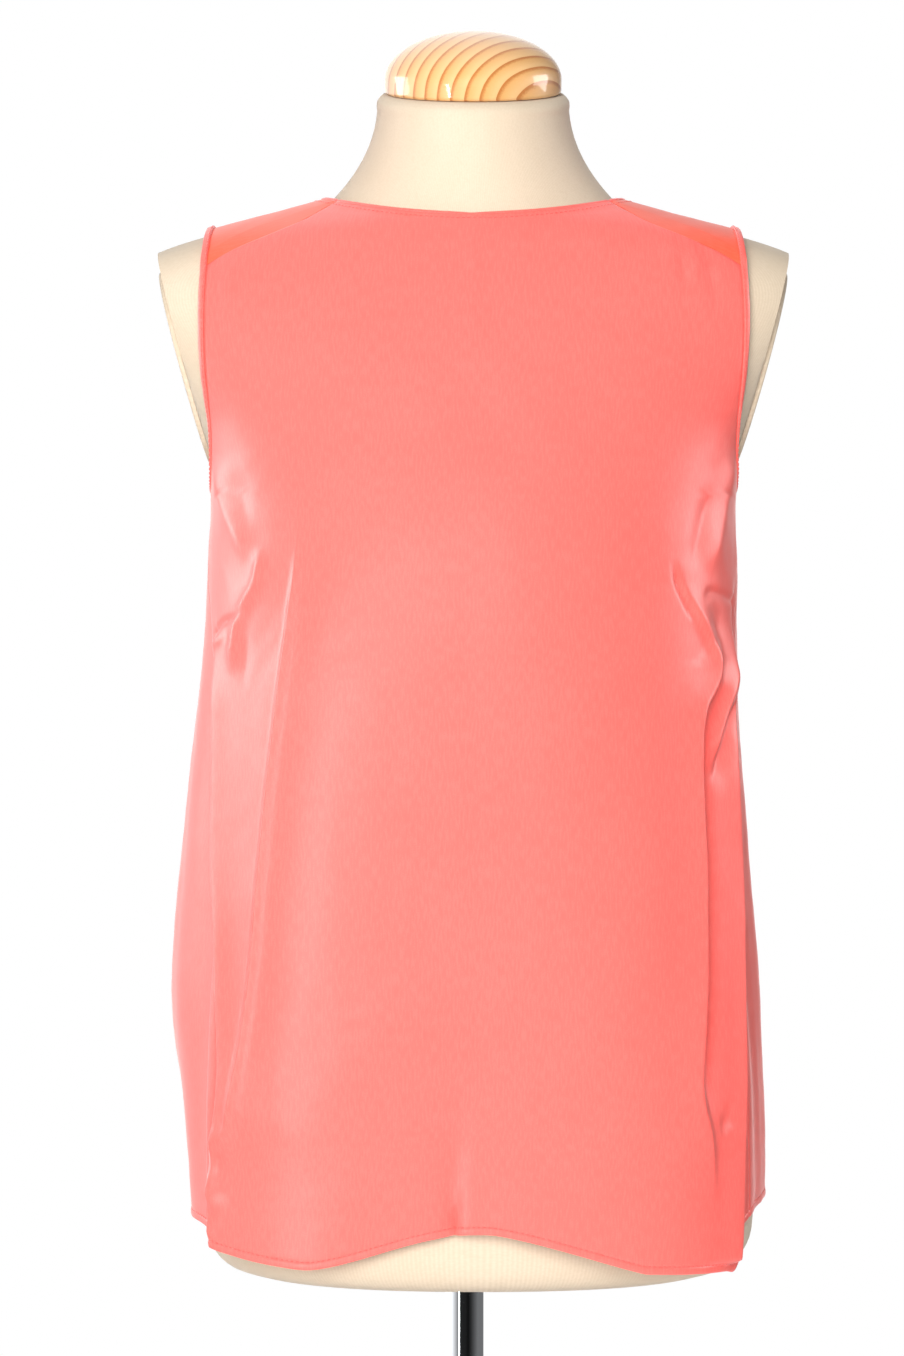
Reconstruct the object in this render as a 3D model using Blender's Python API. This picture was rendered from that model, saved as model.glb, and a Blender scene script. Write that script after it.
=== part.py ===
"""A sleeveless blouse on a limbless dress form, on a pole and a round base.

Metres, +Z up, the front faces -Y, and the origin is at the middle of the base's underside.
Every cloth piece is a closed wall made from one surface, blouse_point(angle, level).  An angle
goes round the body: 0 is the wearer's left side (+X), 90 the back, 180 the other side and 270
the front.  A level goes up it: 0 is the hem, 1 the top of the chest and 2 the neck edge.
"""
import math
from collections import namedtuple

import bmesh
import bpy
from mathutils import Matrix
from mathutils import Vector

# Cloth
WALL = 0.0015
SEAM_GAP = 0.0003
BINDING_WALL = 0.0020
NECK_BAND = 0.0022
ARM_BAND = 0.0035

# Heights on the form
FORM_BOTTOM = 0.300
HEM_HEIGHT = 0.320
CHEST_TOP = 0.800
NECK_TOP = 0.997
NECK_RADIUS = 0.0570
NECK_TOP_LEAN = -0.010
NECK_TILT = math.radians(15.5)
NECK_SHARES = (0.0, 0.12, 0.25, 0.4, 0.6, 0.8, 0.96)
NECK_EDGE = ((0.0008, 0.0006), (0.0030, 0.0022))
ROUND_TOP = 0.330

# Shoulders
FORM_SLOPE = 0.270
CLOTH_SLOPE = 0.276
SHOULDER_SQUARE = 7.0
NECK_BASE_HALF = 0.0870
NECK_BASE_FRONT = 0.0700
NECK_BASE_BACK = 0.0600
NECK_BASE_SIDE_Z = 0.9345
NECK_BASE_FRONT_Z = 0.9160
NECK_BASE_BACK_Z = 0.9470
CLOTH_LIFT = 0.0028
CLOTH_NECK_EASE = 0.0040
CLOTH_SIDE_EASE = 0.0040
CLOTH_FRONT_EASE = 0.0065
CLOTH_BACK_EASE = 0.0078

# Armhole plates: a plane through (ARM_X, ARM_Z) that leans in as it goes down
ARM_X = 0.1885
ARM_Z = 0.9080
ARM_LEAN = 0.262
ARM_CUT_Z = 0.749

# The plates that close the form's armholes, each an egg in its plane
PLATE_WALL = 0.0030
PLATE_MIDDLE_Z = 0.8370
PLATE_MIDDLE_Y = 0.0040
PLATE_HALF_HEIGHT = 0.0600
PLATE_HALF_WIDTH = 0.0520
PLATE_EGG = 0.16
PLATE_SIDES = 36
PLATE_PROFILE = ((0.0, 0.0), (0.0, 0.6), (0.0006, 0.9), (0.0016, 1.0))

# Neck cap
CAP_RADIUS = 0.0528
CAP_SIDE = 0.0085
CAP_HEIGHT = 0.0372
CAP_SQUARE = 2.05
CAP_EDGE = ((0.0020, 0.0), (0.0006, 0.0008), (0.0, 0.0026))
CAP_RINGS = 9

# Pole and base, whose socket is a little to one side
POLE_X = -0.0050
POLE_RADIUS = 0.0114
BASE_RADIUS = 0.150
BASE_EDGE = 0.008
BASE_DOME = 0.016
COLLAR_RADIUS = 0.020
COLLAR_HEIGHT = 0.018
STAND_EDGE = 0.002
DOME_RINGS = 6

# A horizontal section: its half width, how deep it is in front and behind, how square it is
# and how far its middle is from the garment's
Section = namedtuple("Section", "height half_width front back square middle", defaults=(0.0,))

FORM_SECTIONS = (
    Section(0.300, 0.1390, 0.0900, 0.0950, 2.3, 0.0035),
    Section(0.3035, 0.1500, 0.0985, 0.1035, 2.3, 0.0035),
    Section(0.311, 0.1580, 0.1045, 0.1090, 2.3, 0.0035),
    Section(0.324, 0.1630, 0.1075, 0.1125, 2.3, 0.0035),
    Section(0.360, 0.1640, 0.1080, 0.1140, 2.3, 0.0030),
    Section(0.420, 0.1600, 0.1050, 0.1110, 2.3, 0.0020),
    Section(0.480, 0.1440, 0.0960, 0.0970, 2.25),
    Section(0.550, 0.1250, 0.0870, 0.0820, 2.2),
    Section(0.600, 0.1260, 0.0920, 0.0830, 2.2),
    Section(0.660, 0.1350, 0.1070, 0.0920, 2.2),
    Section(0.720, 0.1430, 0.1200, 0.0990, 2.3),
    Section(0.760, 0.1475, 0.1150, 0.1030, 2.4),
    Section(0.800, 0.1640, 0.1060, 0.1060, 2.5),
    Section(0.850, 0.1900, 0.0960, 0.1070, 2.5),
    Section(0.900, 0.2150, 0.0880, 0.1020, 2.5),
    Section(0.950, 0.2250, 0.0800, 0.0900, 2.5),
)

BLOUSE_SECTIONS = (
    Section(0.300, 0.1690, 0.1330, 0.1310, 2.3),
    Section(0.360, 0.1710, 0.1330, 0.1310, 2.3),
    Section(0.440, 0.1700, 0.1330, 0.1300, 2.3),
    Section(0.540, 0.1645, 0.1335, 0.1270, 2.3),
    Section(0.640, 0.1600, 0.1335, 0.1220, 2.3),
    Section(0.720, 0.1575, 0.1300, 0.1160, 2.3),
    Section(0.760, 0.1570, 0.1225, 0.1120, 2.4),
    Section(0.800, 0.1660, 0.1125, 0.1105, 2.5),
)

# A fold runs down from its top height, from one angle to another, as a ridge or, with a
# negative depth, a trough.  It is deepest at the full height, and hem_depth deep at the hem.
Fold = namedtuple("Fold", "name top_angle hem_angle spread depth hem_depth top full")

FOLDS = (
    Fold("right_front_lobe", 242, 233, 17, 0.0040, 0.0070, 0.70, 0.46),
    Fold("left_front_lobe", 300, 306, 17, 0.0045, 0.0075, 0.70, 0.46),
    Fold("centre_front_trough", 268, 266, 13, -0.0020, -0.0075, 0.60, 0.46),
    Fold("right_side_trough", 194, 199, 9, -0.0060, -0.0030, 0.72, 0.50),
    Fold("right_back_ridge", 168, 166, 17, 0.0180, -0.0070, 0.78, 0.475),
    Fold("left_side_trough", -12, -19, 8, -0.0080, -0.0030, 0.72, 0.52),
    Fold("left_back_ridge", 14, 17, 15, 0.0090, 0.0130, 0.72, 0.45),
    Fold("right_back_trough", 141, 139, 13, -0.0060, -0.0100, 0.68, 0.45),
    Fold("left_back_trough", 42, 44, 13, -0.0060, -0.0090, 0.66, 0.45),
    Fold("right_back_flute", 118, 116, 13, 0.0050, 0.0085, 0.68, 0.44),
    Fold("left_back_flute", 66, 66, 14, 0.0055, 0.0095, 0.68, 0.44),
    Fold("centre_back_trough", 92, 91, 12, -0.0030, -0.0065, 0.62, 0.44),
)

# The hem's height at each angle
HemPoint = namedtuple("HemPoint", "angle height")

HEM = (
    HemPoint(-60, 0.3160),
    HemPoint(-38, 0.3150),
    HemPoint(-24, 0.3200),
    HemPoint(-12, 0.3290),
    HemPoint(4, 0.3345),
    HemPoint(20, 0.3345),
    HemPoint(50, 0.3270),
    HemPoint(90, 0.3220),
    HemPoint(130, 0.3250),
    HemPoint(168, 0.3300),
    HemPoint(190, 0.3330),
    HemPoint(203, 0.3310),
    HemPoint(216, 0.3225),
    HemPoint(230, 0.3175),
    HemPoint(240, 0.3170),
    HemPoint(264, 0.3350),
    HemPoint(274, 0.3370),
    HemPoint(300, 0.3160),
)

# The cloth's cut edge at the armhole, as a distance from the middle at each height
Armhole = namedtuple("Armhole", "height distance")

ARMHOLE = (
    Armhole(0.745, 0.1600),
    Armhole(0.757, 0.1571),
    Armhole(0.765, 0.1550),
    Armhole(0.775, 0.1540),
    Armhole(0.800, 0.1540),
    Armhole(0.840, 0.1562),
    Armhole(0.880, 0.1555),
    Armhole(0.905, 0.1540),
    Armhole(0.950, 0.1540),
)

# The side seams' angles: they swing forward from the middle of the underarm
SideSeam = namedtuple("SideSeam", "height right left")

SIDE_SEAMS = (
    SideSeam(0.300, 203.0, -20.0),
    SideSeam(0.450, 202.0, -19.0),
    SideSeam(0.600, 197.0, -15.0),
    SideSeam(0.700, 189.0, -8.0),
    SideSeam(0.757, 180.0, 0.0),
)

# The yoke's seams: how far forward of the shoulder's top its front seam is, at the armhole
# and at the neck, as a turn round the body, how far it bows between them, how high its back
# seam lies and, for the mesh, the turns where its armhole edge starts to fall and where its
# back corner meets the neck
YOKE_ARM_TURN = 43.5
YOKE_NECK_TURN = 27.0
YOKE_SEAM_BOW = 9.5
YOKE_BACK_TURN = 35.0
YOKE_CORNER_TURN = 64.0
BACK_YOKE_LEVEL = 1.34
SEAM_LEVEL = 0.0008

# Densities of the cloth meshes
FRONT_COLUMNS = 34
BACK_COLUMNS = 30
YOKE_SIDE = 13
YOKE_FALL = 4
YOKE_BACK = 20
LOW_LEVELS = (0, 0.07, 0.15, 0.24, 0.33, 0.42, 0.51, 0.60, 0.69, 0.77, 0.83, 0.88)
ABOVE_UNDERARM = (0, 0.003, 0.008, 0.016, 0.028, 0.045, 0.066)
CHEST_LEVELS = (1.0, 1.08, 1.16, 1.25)
HIGH_CHEST_LEVELS = (1.34, 1.42)
TOP_SHARES = (0, 0.2, 0.4, 0.6, 0.8, 1.0)

# Densities of the form's meshes
FORM_SIDES = 48
BODY_RINGS = 19
SHOULDER_RINGS = 15
CAP_SIDES = 40
POLE_SIDES = 24
BASE_SIDES = 56


def mix(a, b, share):
    return a + (b - a) * share


def ease(share):
    """A soft step from 0 to 1."""
    share = min(1.0, max(0.0, share))
    return share * share * (3 - 2 * share)


def read_table(rows, at):
    """The other columns of a table at a value of its first column, smooth between rows."""
    if at <= rows[0][0]:
        return rows[0][1:]
    if at >= rows[-1][0]:
        return rows[-1][1:]
    i = max(n for n, row in enumerate(rows) if row[0] <= at)
    i = min(i, len(rows) - 2)
    low, high = rows[i], rows[i + 1]
    before = rows[max(i - 1, 0)]
    after = rows[min(i + 2, len(rows) - 1)]
    span = high[0] - low[0]
    t = (at - low[0]) / span
    values = []
    for column in range(1, len(low)):
        start, end = low[column], high[column]
        slope_in = (end - before[column]) / (high[0] - before[0]) * span
        slope_out = (after[column] - start) / (after[0] - low[0]) * span
        values.append(
            (2 * t**3 - 3 * t**2 + 1) * start
            + (t**3 - 2 * t**2 + t) * slope_in
            + (3 * t**2 - 2 * t**3) * end
            + (t**3 - t**2) * slope_out
        )
    return values


def power(value, exponent):
    return math.copysign(abs(value) ** exponent, value)


def oval(half_width, front, back, square, middle, angle):
    """The point of a horizontal section at an angle in degrees."""
    turn = math.radians(angle)
    depth = back if math.sin(turn) > 0 else front
    x = half_width * power(math.cos(turn), 2 / square)
    y = depth * power(math.sin(turn), 2 / square)
    return Vector((middle + x, y, 0))


def neck_base_point(angle, spread, lift):
    """The edge where the shoulders meet the neck, which is lower in front."""
    sizes = [size + spread for size in (NECK_BASE_HALF, NECK_BASE_FRONT, NECK_BASE_BACK)]
    point = oval(*sizes, 2.0, 0.0, angle)
    front = max(0.0, -math.sin(math.radians(angle)))
    back = max(0.0, math.sin(math.radians(angle)))
    point.z = (
        NECK_BASE_SIDE_Z
        + (NECK_BASE_FRONT_Z - NECK_BASE_SIDE_Z) * front**1.6
        + (NECK_BASE_BACK_Z - NECK_BASE_SIDE_Z) * back**1.6
        + lift
    )
    return point


def shoulder_point(sections, angle, rise, drop, spread=0.0, lift=0.0):
    """A point over the shoulders: rise 0 is on the chest and 1 on the neck base."""
    inner = neck_base_point(angle, spread, lift)
    side = math.cos(math.radians(angle)) ** 2
    square = mix(2.0, SHOULDER_SQUARE, side)
    across, up = math.cos(math.pi / 2 * rise), math.sin(math.pi / 2 * rise)
    scale = (abs(across) ** square + up**square) ** (-1 / square)
    reach, height = across * scale, up * scale
    level_z = mix(CHEST_TOP, inner.z, height)
    outer = oval(*read_table(sections, level_z), angle)
    point = inner.lerp(outer, reach)
    fall = drop * max(0.0, abs(point.x) - abs(inner.x))
    point.z = mix(CHEST_TOP, inner.z - fall, height)
    return point


def hem_height(angle):
    """The hem's height, from the table, which closes on itself."""
    turn = (angle + 60) % 360 - 60
    closed = HEM + (HemPoint(HEM[0].angle + 360, HEM[0].height),)
    return read_table(closed, turn)[0]


def fold_swell(angle, height):
    """How far the folds push the cloth out at an angle and a height."""
    swell = 0.0
    for fold in FOLDS:
        share = ease((fold.top - height) / (fold.top - fold.full))
        low_share = ease((fold.full - height) / (fold.full - HEM_HEIGHT))
        middle = mix(fold.top_angle, fold.hem_angle, (share + low_share) / 2)
        away = (angle - middle + 180) % 360 - 180
        depth = mix(fold.depth * share, fold.hem_depth, low_share)
        swell += depth * math.exp(-((away / fold.spread) ** 2))
    return swell


CHEST_SECTIONS = BLOUSE_SECTIONS + tuple(
    Section(
        row.height,
        row.half_width + CLOTH_SIDE_EASE,
        row.front + CLOTH_FRONT_EASE,
        row.back + CLOTH_BACK_EASE,
        row.square,
    )
    for row in FORM_SECTIONS
    if row.height > CHEST_TOP
)


def blouse_point(angle, level):
    """The blouse's outer surface."""
    if level >= 1:
        rise = level - 1
        return shoulder_point(
            CHEST_SECTIONS, angle, rise, CLOTH_SLOPE, CLOTH_NECK_EASE, CLOTH_LIFT
        )
    height = mix(hem_height(angle), CHEST_TOP, level)
    point = oval(*read_table(CHEST_SECTIONS, height), angle)
    outward = point.normalized()
    point += outward * fold_swell(angle, height)
    point.z = height
    return point


def blouse_normal(angle, level):
    """The outward direction of the blouse's surface."""
    step = 0.01 if level < 1.99 else -0.01
    along = blouse_point(angle + 0.5, level) - blouse_point(angle - 0.5, level)
    up = (blouse_point(angle, level + step) - blouse_point(angle, level)) / step
    return along.cross(up).normalized()


def armhole_distance(height):
    return read_table(ARMHOLE, height)[0]


def in_armhole(angle, level):
    point = blouse_point(angle, level)
    return abs(point.x) > armhole_distance(point.z)


def solve(low, high, test):
    """The place between low, where the test holds, and high, where it doesn't."""
    for _ in range(36):
        middle = (low + high) / 2
        if test(middle):
            low = middle
        else:
            high = middle
    return high


def turn_for(distance, angle, level):
    """The turn in degrees that moves a point of the cloth by a distance along its row."""
    return distance / (blouse_point(angle + 0.5, level) - blouse_point(angle - 0.5, level)).length


SIDE_MIDDLE = {"right": 180.0, "left": 0.0}
UNDERARM = {
    side: solve(1.0, 0.85, lambda level, turn=turn: in_armhole(turn, level))
    for side, turn in SIDE_MIDDLE.items()
}


def side_edge(level, side, towards):
    """Where a row of the front or back ends: at the side seam or, higher, at the armhole."""
    middle = SIDE_MIDDLE[side]
    if level > UNDERARM[side]:
        return solve(middle, towards, lambda angle: in_armhole(angle, level))
    height = mix(HEM_HEIGHT, CHEST_TOP, level)
    right, left = read_table(SIDE_SEAMS, height)
    seam = right if side == "right" else left
    return seam + math.copysign(turn_for(SEAM_GAP / 2, seam, level), towards - middle)


def material(name, colour, roughness, metallic=0.0):
    """A plain material of one colour."""
    made = bpy.data.materials.new(name)
    made.use_nodes = True
    shader = made.node_tree.nodes["Principled BSDF"]
    shader.inputs["Base Color"].default_value = (*colour, 1)
    shader.inputs["Roughness"].default_value = roughness
    shader.inputs["Metallic"].default_value = metallic
    return made


def add_object(name, mesh_maker, surface, smooth_angle=40):
    """Puts a finished bmesh into the scene as one named object."""
    mesh = bpy.data.meshes.new(name)
    bmesh.ops.recalc_face_normals(mesh_maker, faces=mesh_maker.faces)
    mesh_maker.to_mesh(mesh)
    mesh_maker.free()
    mesh.shade_smooth()
    mesh.set_sharp_from_angle(angle=math.radians(smooth_angle))
    mesh.materials.append(surface)
    made = bpy.data.objects.new(name, mesh)
    bpy.context.collection.objects.link(made)
    return made


def cloth_wall(name, rows, surface, thickness=WALL):
    """A closed wall from rows of (angle, level): the outer skin, the inner skin and the rim."""
    maker = bmesh.new()
    outer = []
    inner = []
    for row in rows:
        points = [blouse_point(*place) for place in row]
        normals = [blouse_normal(*place) for place in row]
        outer.append([maker.verts.new(p) for p in points])
        inner.append(
            [maker.verts.new(p - n * thickness) for p, n in zip(points, normals, strict=True)]
        )
    last_row = len(rows) - 1
    last = len(rows[0]) - 1
    for r in range(last_row):
        for c in range(last):
            for skin in (outer, inner):
                corners = (skin[r][c], skin[r][c + 1], skin[r + 1][c + 1], skin[r + 1][c])
                maker.faces.new(corners)
    rim = [(0, c) for c in range(last)]
    rim += [(r, last) for r in range(last_row)]
    rim += [(last_row, c) for c in range(last, 0, -1)]
    rim += [(r, 0) for r in range(last_row, 0, -1)]
    for here, after in zip(rim, rim[1:] + rim[:1], strict=True):
        a, b = outer[here[0]][here[1]], outer[after[0]][after[1]]
        c, d = inner[after[0]][after[1]], inner[here[0]][here[1]]
        maker.faces.new((a, b, c, d))
    return add_object(name, maker, surface)


def row_between(level, start, end, columns):
    return [(mix(start, end, c / columns), level) for c in range(columns + 1)]


FRONT = {"right": 270.0, "left": -90.0}
BACK = 90.0


def low_levels():
    """The rows from the hem to the chest, with one exactly at the bottom of the armholes."""
    under = (UNDERARM["right"] + UNDERARM["left"]) / 2
    return LOW_LEVELS + tuple(under + step for step in ABOVE_UNDERARM) + CHEST_LEVELS


def armhole_top(angle):
    """The highest level at an angle that is still in the armhole, or 1 where none is."""
    high = 2.0
    while high > 1 and not in_armhole(angle, high):
        high -= 0.01
    return solve(high, high + 0.01, lambda level: in_armhole(angle, level)) if high > 1 else 1.0


def yoke_corner(side):
    """The level where the yoke's front seam meets the armhole."""
    forward = 1 if side == "right" else -1
    return armhole_top(SIDE_MIDDLE[side] + forward * YOKE_ARM_TURN)


CORNER = {side: yoke_corner(side) for side in SIDE_MIDDLE}


def yoke_seam_turn(side, level):
    """The angle of the yoke's front seam at a level."""
    share = (level - CORNER[side]) / (2 - CORNER[side])
    turn = mix(YOKE_ARM_TURN, YOKE_NECK_TURN, share) + YOKE_SEAM_BOW * math.sin(math.pi * share)
    return SIDE_MIDDLE[side] + (turn if side == "right" else -turn)


def yoke_seam(side, level, gap):
    """The same, moved forward so that it lies a gap away from the seam's own line."""
    seam = yoke_seam_turn(side, level)
    lower = level - 0.01
    row = blouse_point(seam + 0.5, level) - blouse_point(seam - 0.5, level)
    line = blouse_point(seam, level) - blouse_point(yoke_seam_turn(side, lower), lower)
    slant = row.normalized().cross(line.normalized()).length
    forward = 1 if side == "right" else -1
    return seam + forward * gap / slant / row.length


def front_rows():
    """The front: between the side seams, the armholes and then the seams to the yoke."""
    corner = (CORNER["right"] + CORNER["left"]) / 2
    levels = low_levels() + HIGH_CHEST_LEVELS
    levels += tuple(mix(corner, 2.0, share) for share in TOP_SHARES)
    rows = []
    for level in levels:
        start = side_edge(level, "right", FRONT["right"])
        end = side_edge(level, "left", FRONT["left"]) + 360
        if level >= corner:
            start = yoke_seam("right", level, SEAM_GAP / 2)
            end = yoke_seam("left", level, SEAM_GAP / 2) + 360
        rows.append(row_between(level, start, end, FRONT_COLUMNS))
    return rows


def back_rows():
    """The back: between the side seams and the armholes, up to the yoke across the back."""
    rows = []
    for level in low_levels() + (BACK_YOKE_LEVEL - SEAM_LEVEL,):
        start = side_edge(level, "left", BACK)
        end = side_edge(level, "right", BACK)
        rows.append(row_between(level, start, end, BACK_COLUMNS))
    return rows


def yoke_arm_edge(side):
    """The yoke's places along an armhole, from its front corner to its back corner."""
    middle = SIDE_MIDDLE[side]
    start = yoke_seam(side, CORNER[side], -SEAM_GAP / 2)
    end = middle + math.copysign(YOKE_BACK_TURN, BACK - middle)
    columns = YOKE_SIDE - YOKE_FALL
    turns = [mix(start, end, n / columns) for n in range(1, columns + 1)]
    places = [(start, CORNER[side])] + [(turn, armhole_top(turn)) for turn in turns]
    top = places[-1][1]
    for n in range(1, YOKE_FALL + 1):
        level = mix(top, BACK_YOKE_LEVEL + SEAM_LEVEL, n / YOKE_FALL)
        places.append((side_edge(level, side, BACK), level))
    return places


def yoke_rows():
    """The yoke: from one front seam over the shoulder, across the back and over the other."""
    gap = -SEAM_GAP / 2
    left, right = yoke_arm_edge("left"), yoke_arm_edge("right")[::-1]
    shares = [n / YOKE_BACK for n in range(1, YOKE_BACK)]
    turns = [mix(left[-1][0], right[0][0], share) for share in shares]
    outer = left + [(turn, BACK_YOKE_LEVEL + SEAM_LEVEL) for turn in turns] + right
    start, end = yoke_seam("left", 2.0, gap), yoke_seam("right", 2.0, gap)
    near, far = YOKE_CORNER_TURN, 180 - YOKE_CORNER_TURN
    inner = [mix(start, near, n / YOKE_SIDE) for n in range(YOKE_SIDE + 1)]
    inner += [mix(near, far, share) for share in shares]
    inner += [mix(far, end, n / YOKE_SIDE) for n in range(YOKE_SIDE + 1)]
    rows = []
    for share in TOP_SHARES:
        places = zip(outer, inner, strict=True)
        row = [(mix(turn, end, share), mix(level, 2.0, share)) for (turn, level), end in places]
        row[0] = (yoke_seam("left", row[0][1], gap), row[0][1])
        row[-1] = (yoke_seam("right", row[-1][1], gap), row[-1][1])
        rows.append(row)
    return rows


def band(name, edge, width, surface):
    """A closed band past an edge of the cloth, from pairs of places: on it and just inside."""
    maker = bmesh.new()
    points = [blouse_point(*place) for place, _ in edge]
    normals = [blouse_normal(*place) for place, _ in edge]
    count = len(points)
    rings = []
    for i in range(count):
        along = points[(i + 1) % count] - points[i - 1]
        away = along.cross(normals[i]).normalized()
        if away.dot(points[i] - blouse_point(*edge[i][1])) < 0:
            away.negate()
        proud = (BINDING_WALL - WALL) / 2
        near = points[i] + away * SEAM_GAP
        far = near + away * width
        up = normals[i] * proud
        down = normals[i] * (proud - BINDING_WALL)
        rings.append([maker.verts.new(p) for p in (near + up, far + up, far + down, near + down)])
    for i in range(count):
        here, after = rings[i], rings[(i + 1) % count]
        for k in range(4):
            maker.faces.new((here[k], here[(k + 1) % 4], after[(k + 1) % 4], after[k]))
    return add_object(name, maker, surface)


def armhole_edge(side, front, back, yoke):
    """The armhole's edge on all three pieces, from the underarm up the front and round."""
    last, before = (0, 1) if side == "right" else (-1, -2)
    small = 0.0001
    under, corner = UNDERARM[side] - small, CORNER[side] - small
    up_front = [(row[last], row[before]) for row in front if under < row[0][1] < corner]
    first, second = (-1, -2) if side == "right" else (0, 1)
    under += 2 * small
    down_back = [(row[first], row[second]) for row in back if under < row[0][1]]
    over = list(zip(yoke[0], yoke[1], strict=True))
    over = over[: -YOKE_SIDE - 2 : -1] if side == "right" else over[: YOKE_SIDE + 1]
    return up_front + over + down_back[::-1]


def neck_edge(front, yoke):
    """The whole neckline, over the front and then the yoke."""
    whole = list(zip(front[-1], front[-2], strict=True))
    whole += list(zip(yoke[-1], yoke[-2], strict=True))
    return whole


def build_blouse():
    coral = material("coral_crepe", (1.0, 0.27, 0.22), 0.5)
    orange = material("coral_crepe_yoke", (1.0, 0.24, 0.16), 0.5)
    front, back, yoke = front_rows(), back_rows(), yoke_rows()
    cloth_wall("front_panel", front, coral)
    cloth_wall("back_panel", back, coral)
    cloth_wall("yoke", yoke, orange)
    band("neck_binding", neck_edge(front, yoke), NECK_BAND, coral)
    for side in ("right", "left"):
        edge = armhole_edge(side, front, back, yoke)
        band("armhole_binding_" + side, edge, ARM_BAND, coral)


def ring_loft(maker, rings, cap_bottom=True, cap_top=True):
    """Joins closed rings of points with faces, and closes the ends."""
    made = [[maker.verts.new(p) for p in ring] for ring in rings]
    count = len(rings[0])
    for low, high in zip(made, made[1:], strict=False):
        for i in range(count):
            j = (i + 1) % count
            maker.faces.new((low[i], low[j], high[j], high[i]))
    if cap_bottom:
        maker.faces.new(list(reversed(made[0])))
    if cap_top:
        maker.faces.new(made[-1])


def neck_ring(share, inset=0.0, raised=0.0):
    """A ring of the form's neck, from its base (0) to its tilted top (1)."""
    ring = []
    for i in range(FORM_SIDES):
        angle = 360 * i / FORM_SIDES
        turn = math.radians(angle)
        base = neck_base_point(angle, 0.0, 0.0)
        radius = NECK_RADIUS - inset
        top = Vector((radius * math.cos(turn), radius * math.sin(turn), 0))
        top.z = NECK_TOP + top.y * math.tan(NECK_TILT) + raised
        top.y += NECK_TOP_LEAN
        flare = (1 - share) ** 2.2
        point = top.lerp(base, flare)
        point.z = mix(base.z, top.z, share)
        ring.append(point)
    return ring


def add_plate(name, side, surface):
    """The flat plate that closes an armhole of the form: an egg, wider at the top."""
    outward = Vector((side, 0, -ARM_LEAN)).normalized()
    upward = Vector((side * ARM_LEAN, 0, 1)).normalized()
    middle_x = side * (ARM_X + ARM_LEAN * (PLATE_MIDDLE_Z - ARM_Z))
    middle = Vector((middle_x, PLATE_MIDDLE_Y, PLATE_MIDDLE_Z))
    rings = []
    for inset, height in PLATE_PROFILE:
        ring = []
        for i in range(PLATE_SIDES):
            turn = side * math.tau * i / PLATE_SIDES
            width = (PLATE_HALF_WIDTH - inset) * (1 + PLATE_EGG * math.sin(turn * side))
            place = middle + Vector((0, 1, 0)) * width * math.cos(turn)
            place += upward * (PLATE_HALF_HEIGHT - inset) * math.sin(turn) * side
            ring.append(place + outward * (SEAM_GAP + height * PLATE_WALL))
        rings.append(ring)
    maker = bmesh.new()
    ring_loft(maker, rings)
    add_object("arm_plate_" + name, maker, surface)


def build_form():
    jersey = material("cream_jersey", (0.86, 0.74, 0.62), 0.9)
    rings = []
    heights = [row.height for row in FORM_SECTIONS if row.height < ROUND_TOP]
    heights += [mix(ROUND_TOP, CHEST_TOP, n / BODY_RINGS) for n in range(1, BODY_RINGS)]
    for height in heights:
        ring = []
        for i in range(FORM_SIDES):
            point = oval(*read_table(FORM_SECTIONS, height), 360 * i / FORM_SIDES)
            point.z = height
            ring.append(point)
        rings.append(ring)
    for rise in (n / SHOULDER_RINGS for n in range(SHOULDER_RINGS)):
        angles = [360 * i / FORM_SIDES for i in range(FORM_SIDES)]
        rings.append([shoulder_point(FORM_SECTIONS, a, rise, FORM_SLOPE) for a in angles])
    rings += [neck_ring(share) for share in NECK_SHARES]
    rings += [neck_ring(1.0, inset, raised) for inset, raised in NECK_EDGE]
    maker = bmesh.new()
    ring_loft(maker, rings)
    for side in (-1, 1):
        centre = Vector((side * ARM_X, 0, ARM_Z))
        outward = Vector((side, 0, -ARM_LEAN)).normalized()
        high = [vert for vert in maker.verts if vert.co.z > ARM_CUT_Z]
        faces = [face for face in maker.faces if all(vert in high for vert in face.verts)]
        edges = [edge for edge in maker.edges if all(vert in high for vert in edge.verts)]
        geometry = high + edges + faces
        bmesh.ops.bisect_plane(
            maker, geom=geometry, plane_co=centre, plane_no=outward, clear_outer=True
        )
        rim = [edge for edge in maker.edges if edge.is_boundary]
        bmesh.ops.contextual_create(maker, geom=rim)
    add_object("form_body", maker, jersey)
    for side in (-1, 1):
        add_plate("right" if side < 0 else "left", side, jersey)


def turned(name, profile, sides, surface, place=None):
    """A turned piece from a profile of (radius, height), closed at both ends."""
    maker = bmesh.new()
    rings = []
    for radius, height in profile:
        turns = [math.tau * i / sides for i in range(sides)]
        rings.append([Vector((radius * math.cos(t), radius * math.sin(t), height)) for t in turns])
    ring_loft(maker, rings)
    if place:
        bmesh.ops.transform(maker, matrix=place, verts=maker.verts)
    return add_object(name, maker, surface, smooth_angle=50)


def build_cap():
    pine = material("varnished_pine", (0.80, 0.47, 0.21), 0.25)
    profile = [(CAP_RADIUS - inset, height) for inset, height in CAP_EDGE]
    for n in range(CAP_RINGS):
        turn = math.radians(90) * n / CAP_RINGS
        radius = CAP_RADIUS * math.cos(turn) ** (2 / CAP_SQUARE)
        rise = (CAP_HEIGHT - CAP_SIDE) * math.sin(turn) ** (2 / CAP_SQUARE)
        profile.append((radius, CAP_SIDE + rise))
    profile.append((CAP_EDGE[-1][1], CAP_HEIGHT))
    seat = NECK_TOP + NECK_EDGE[-1][1] + SEAM_GAP
    place = Matrix.Translation((0, NECK_TOP_LEAN, seat)) @ Matrix.Rotation(NECK_TILT, 4, "X")
    turned("neck_cap", profile, CAP_SIDES, pine, place)


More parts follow.
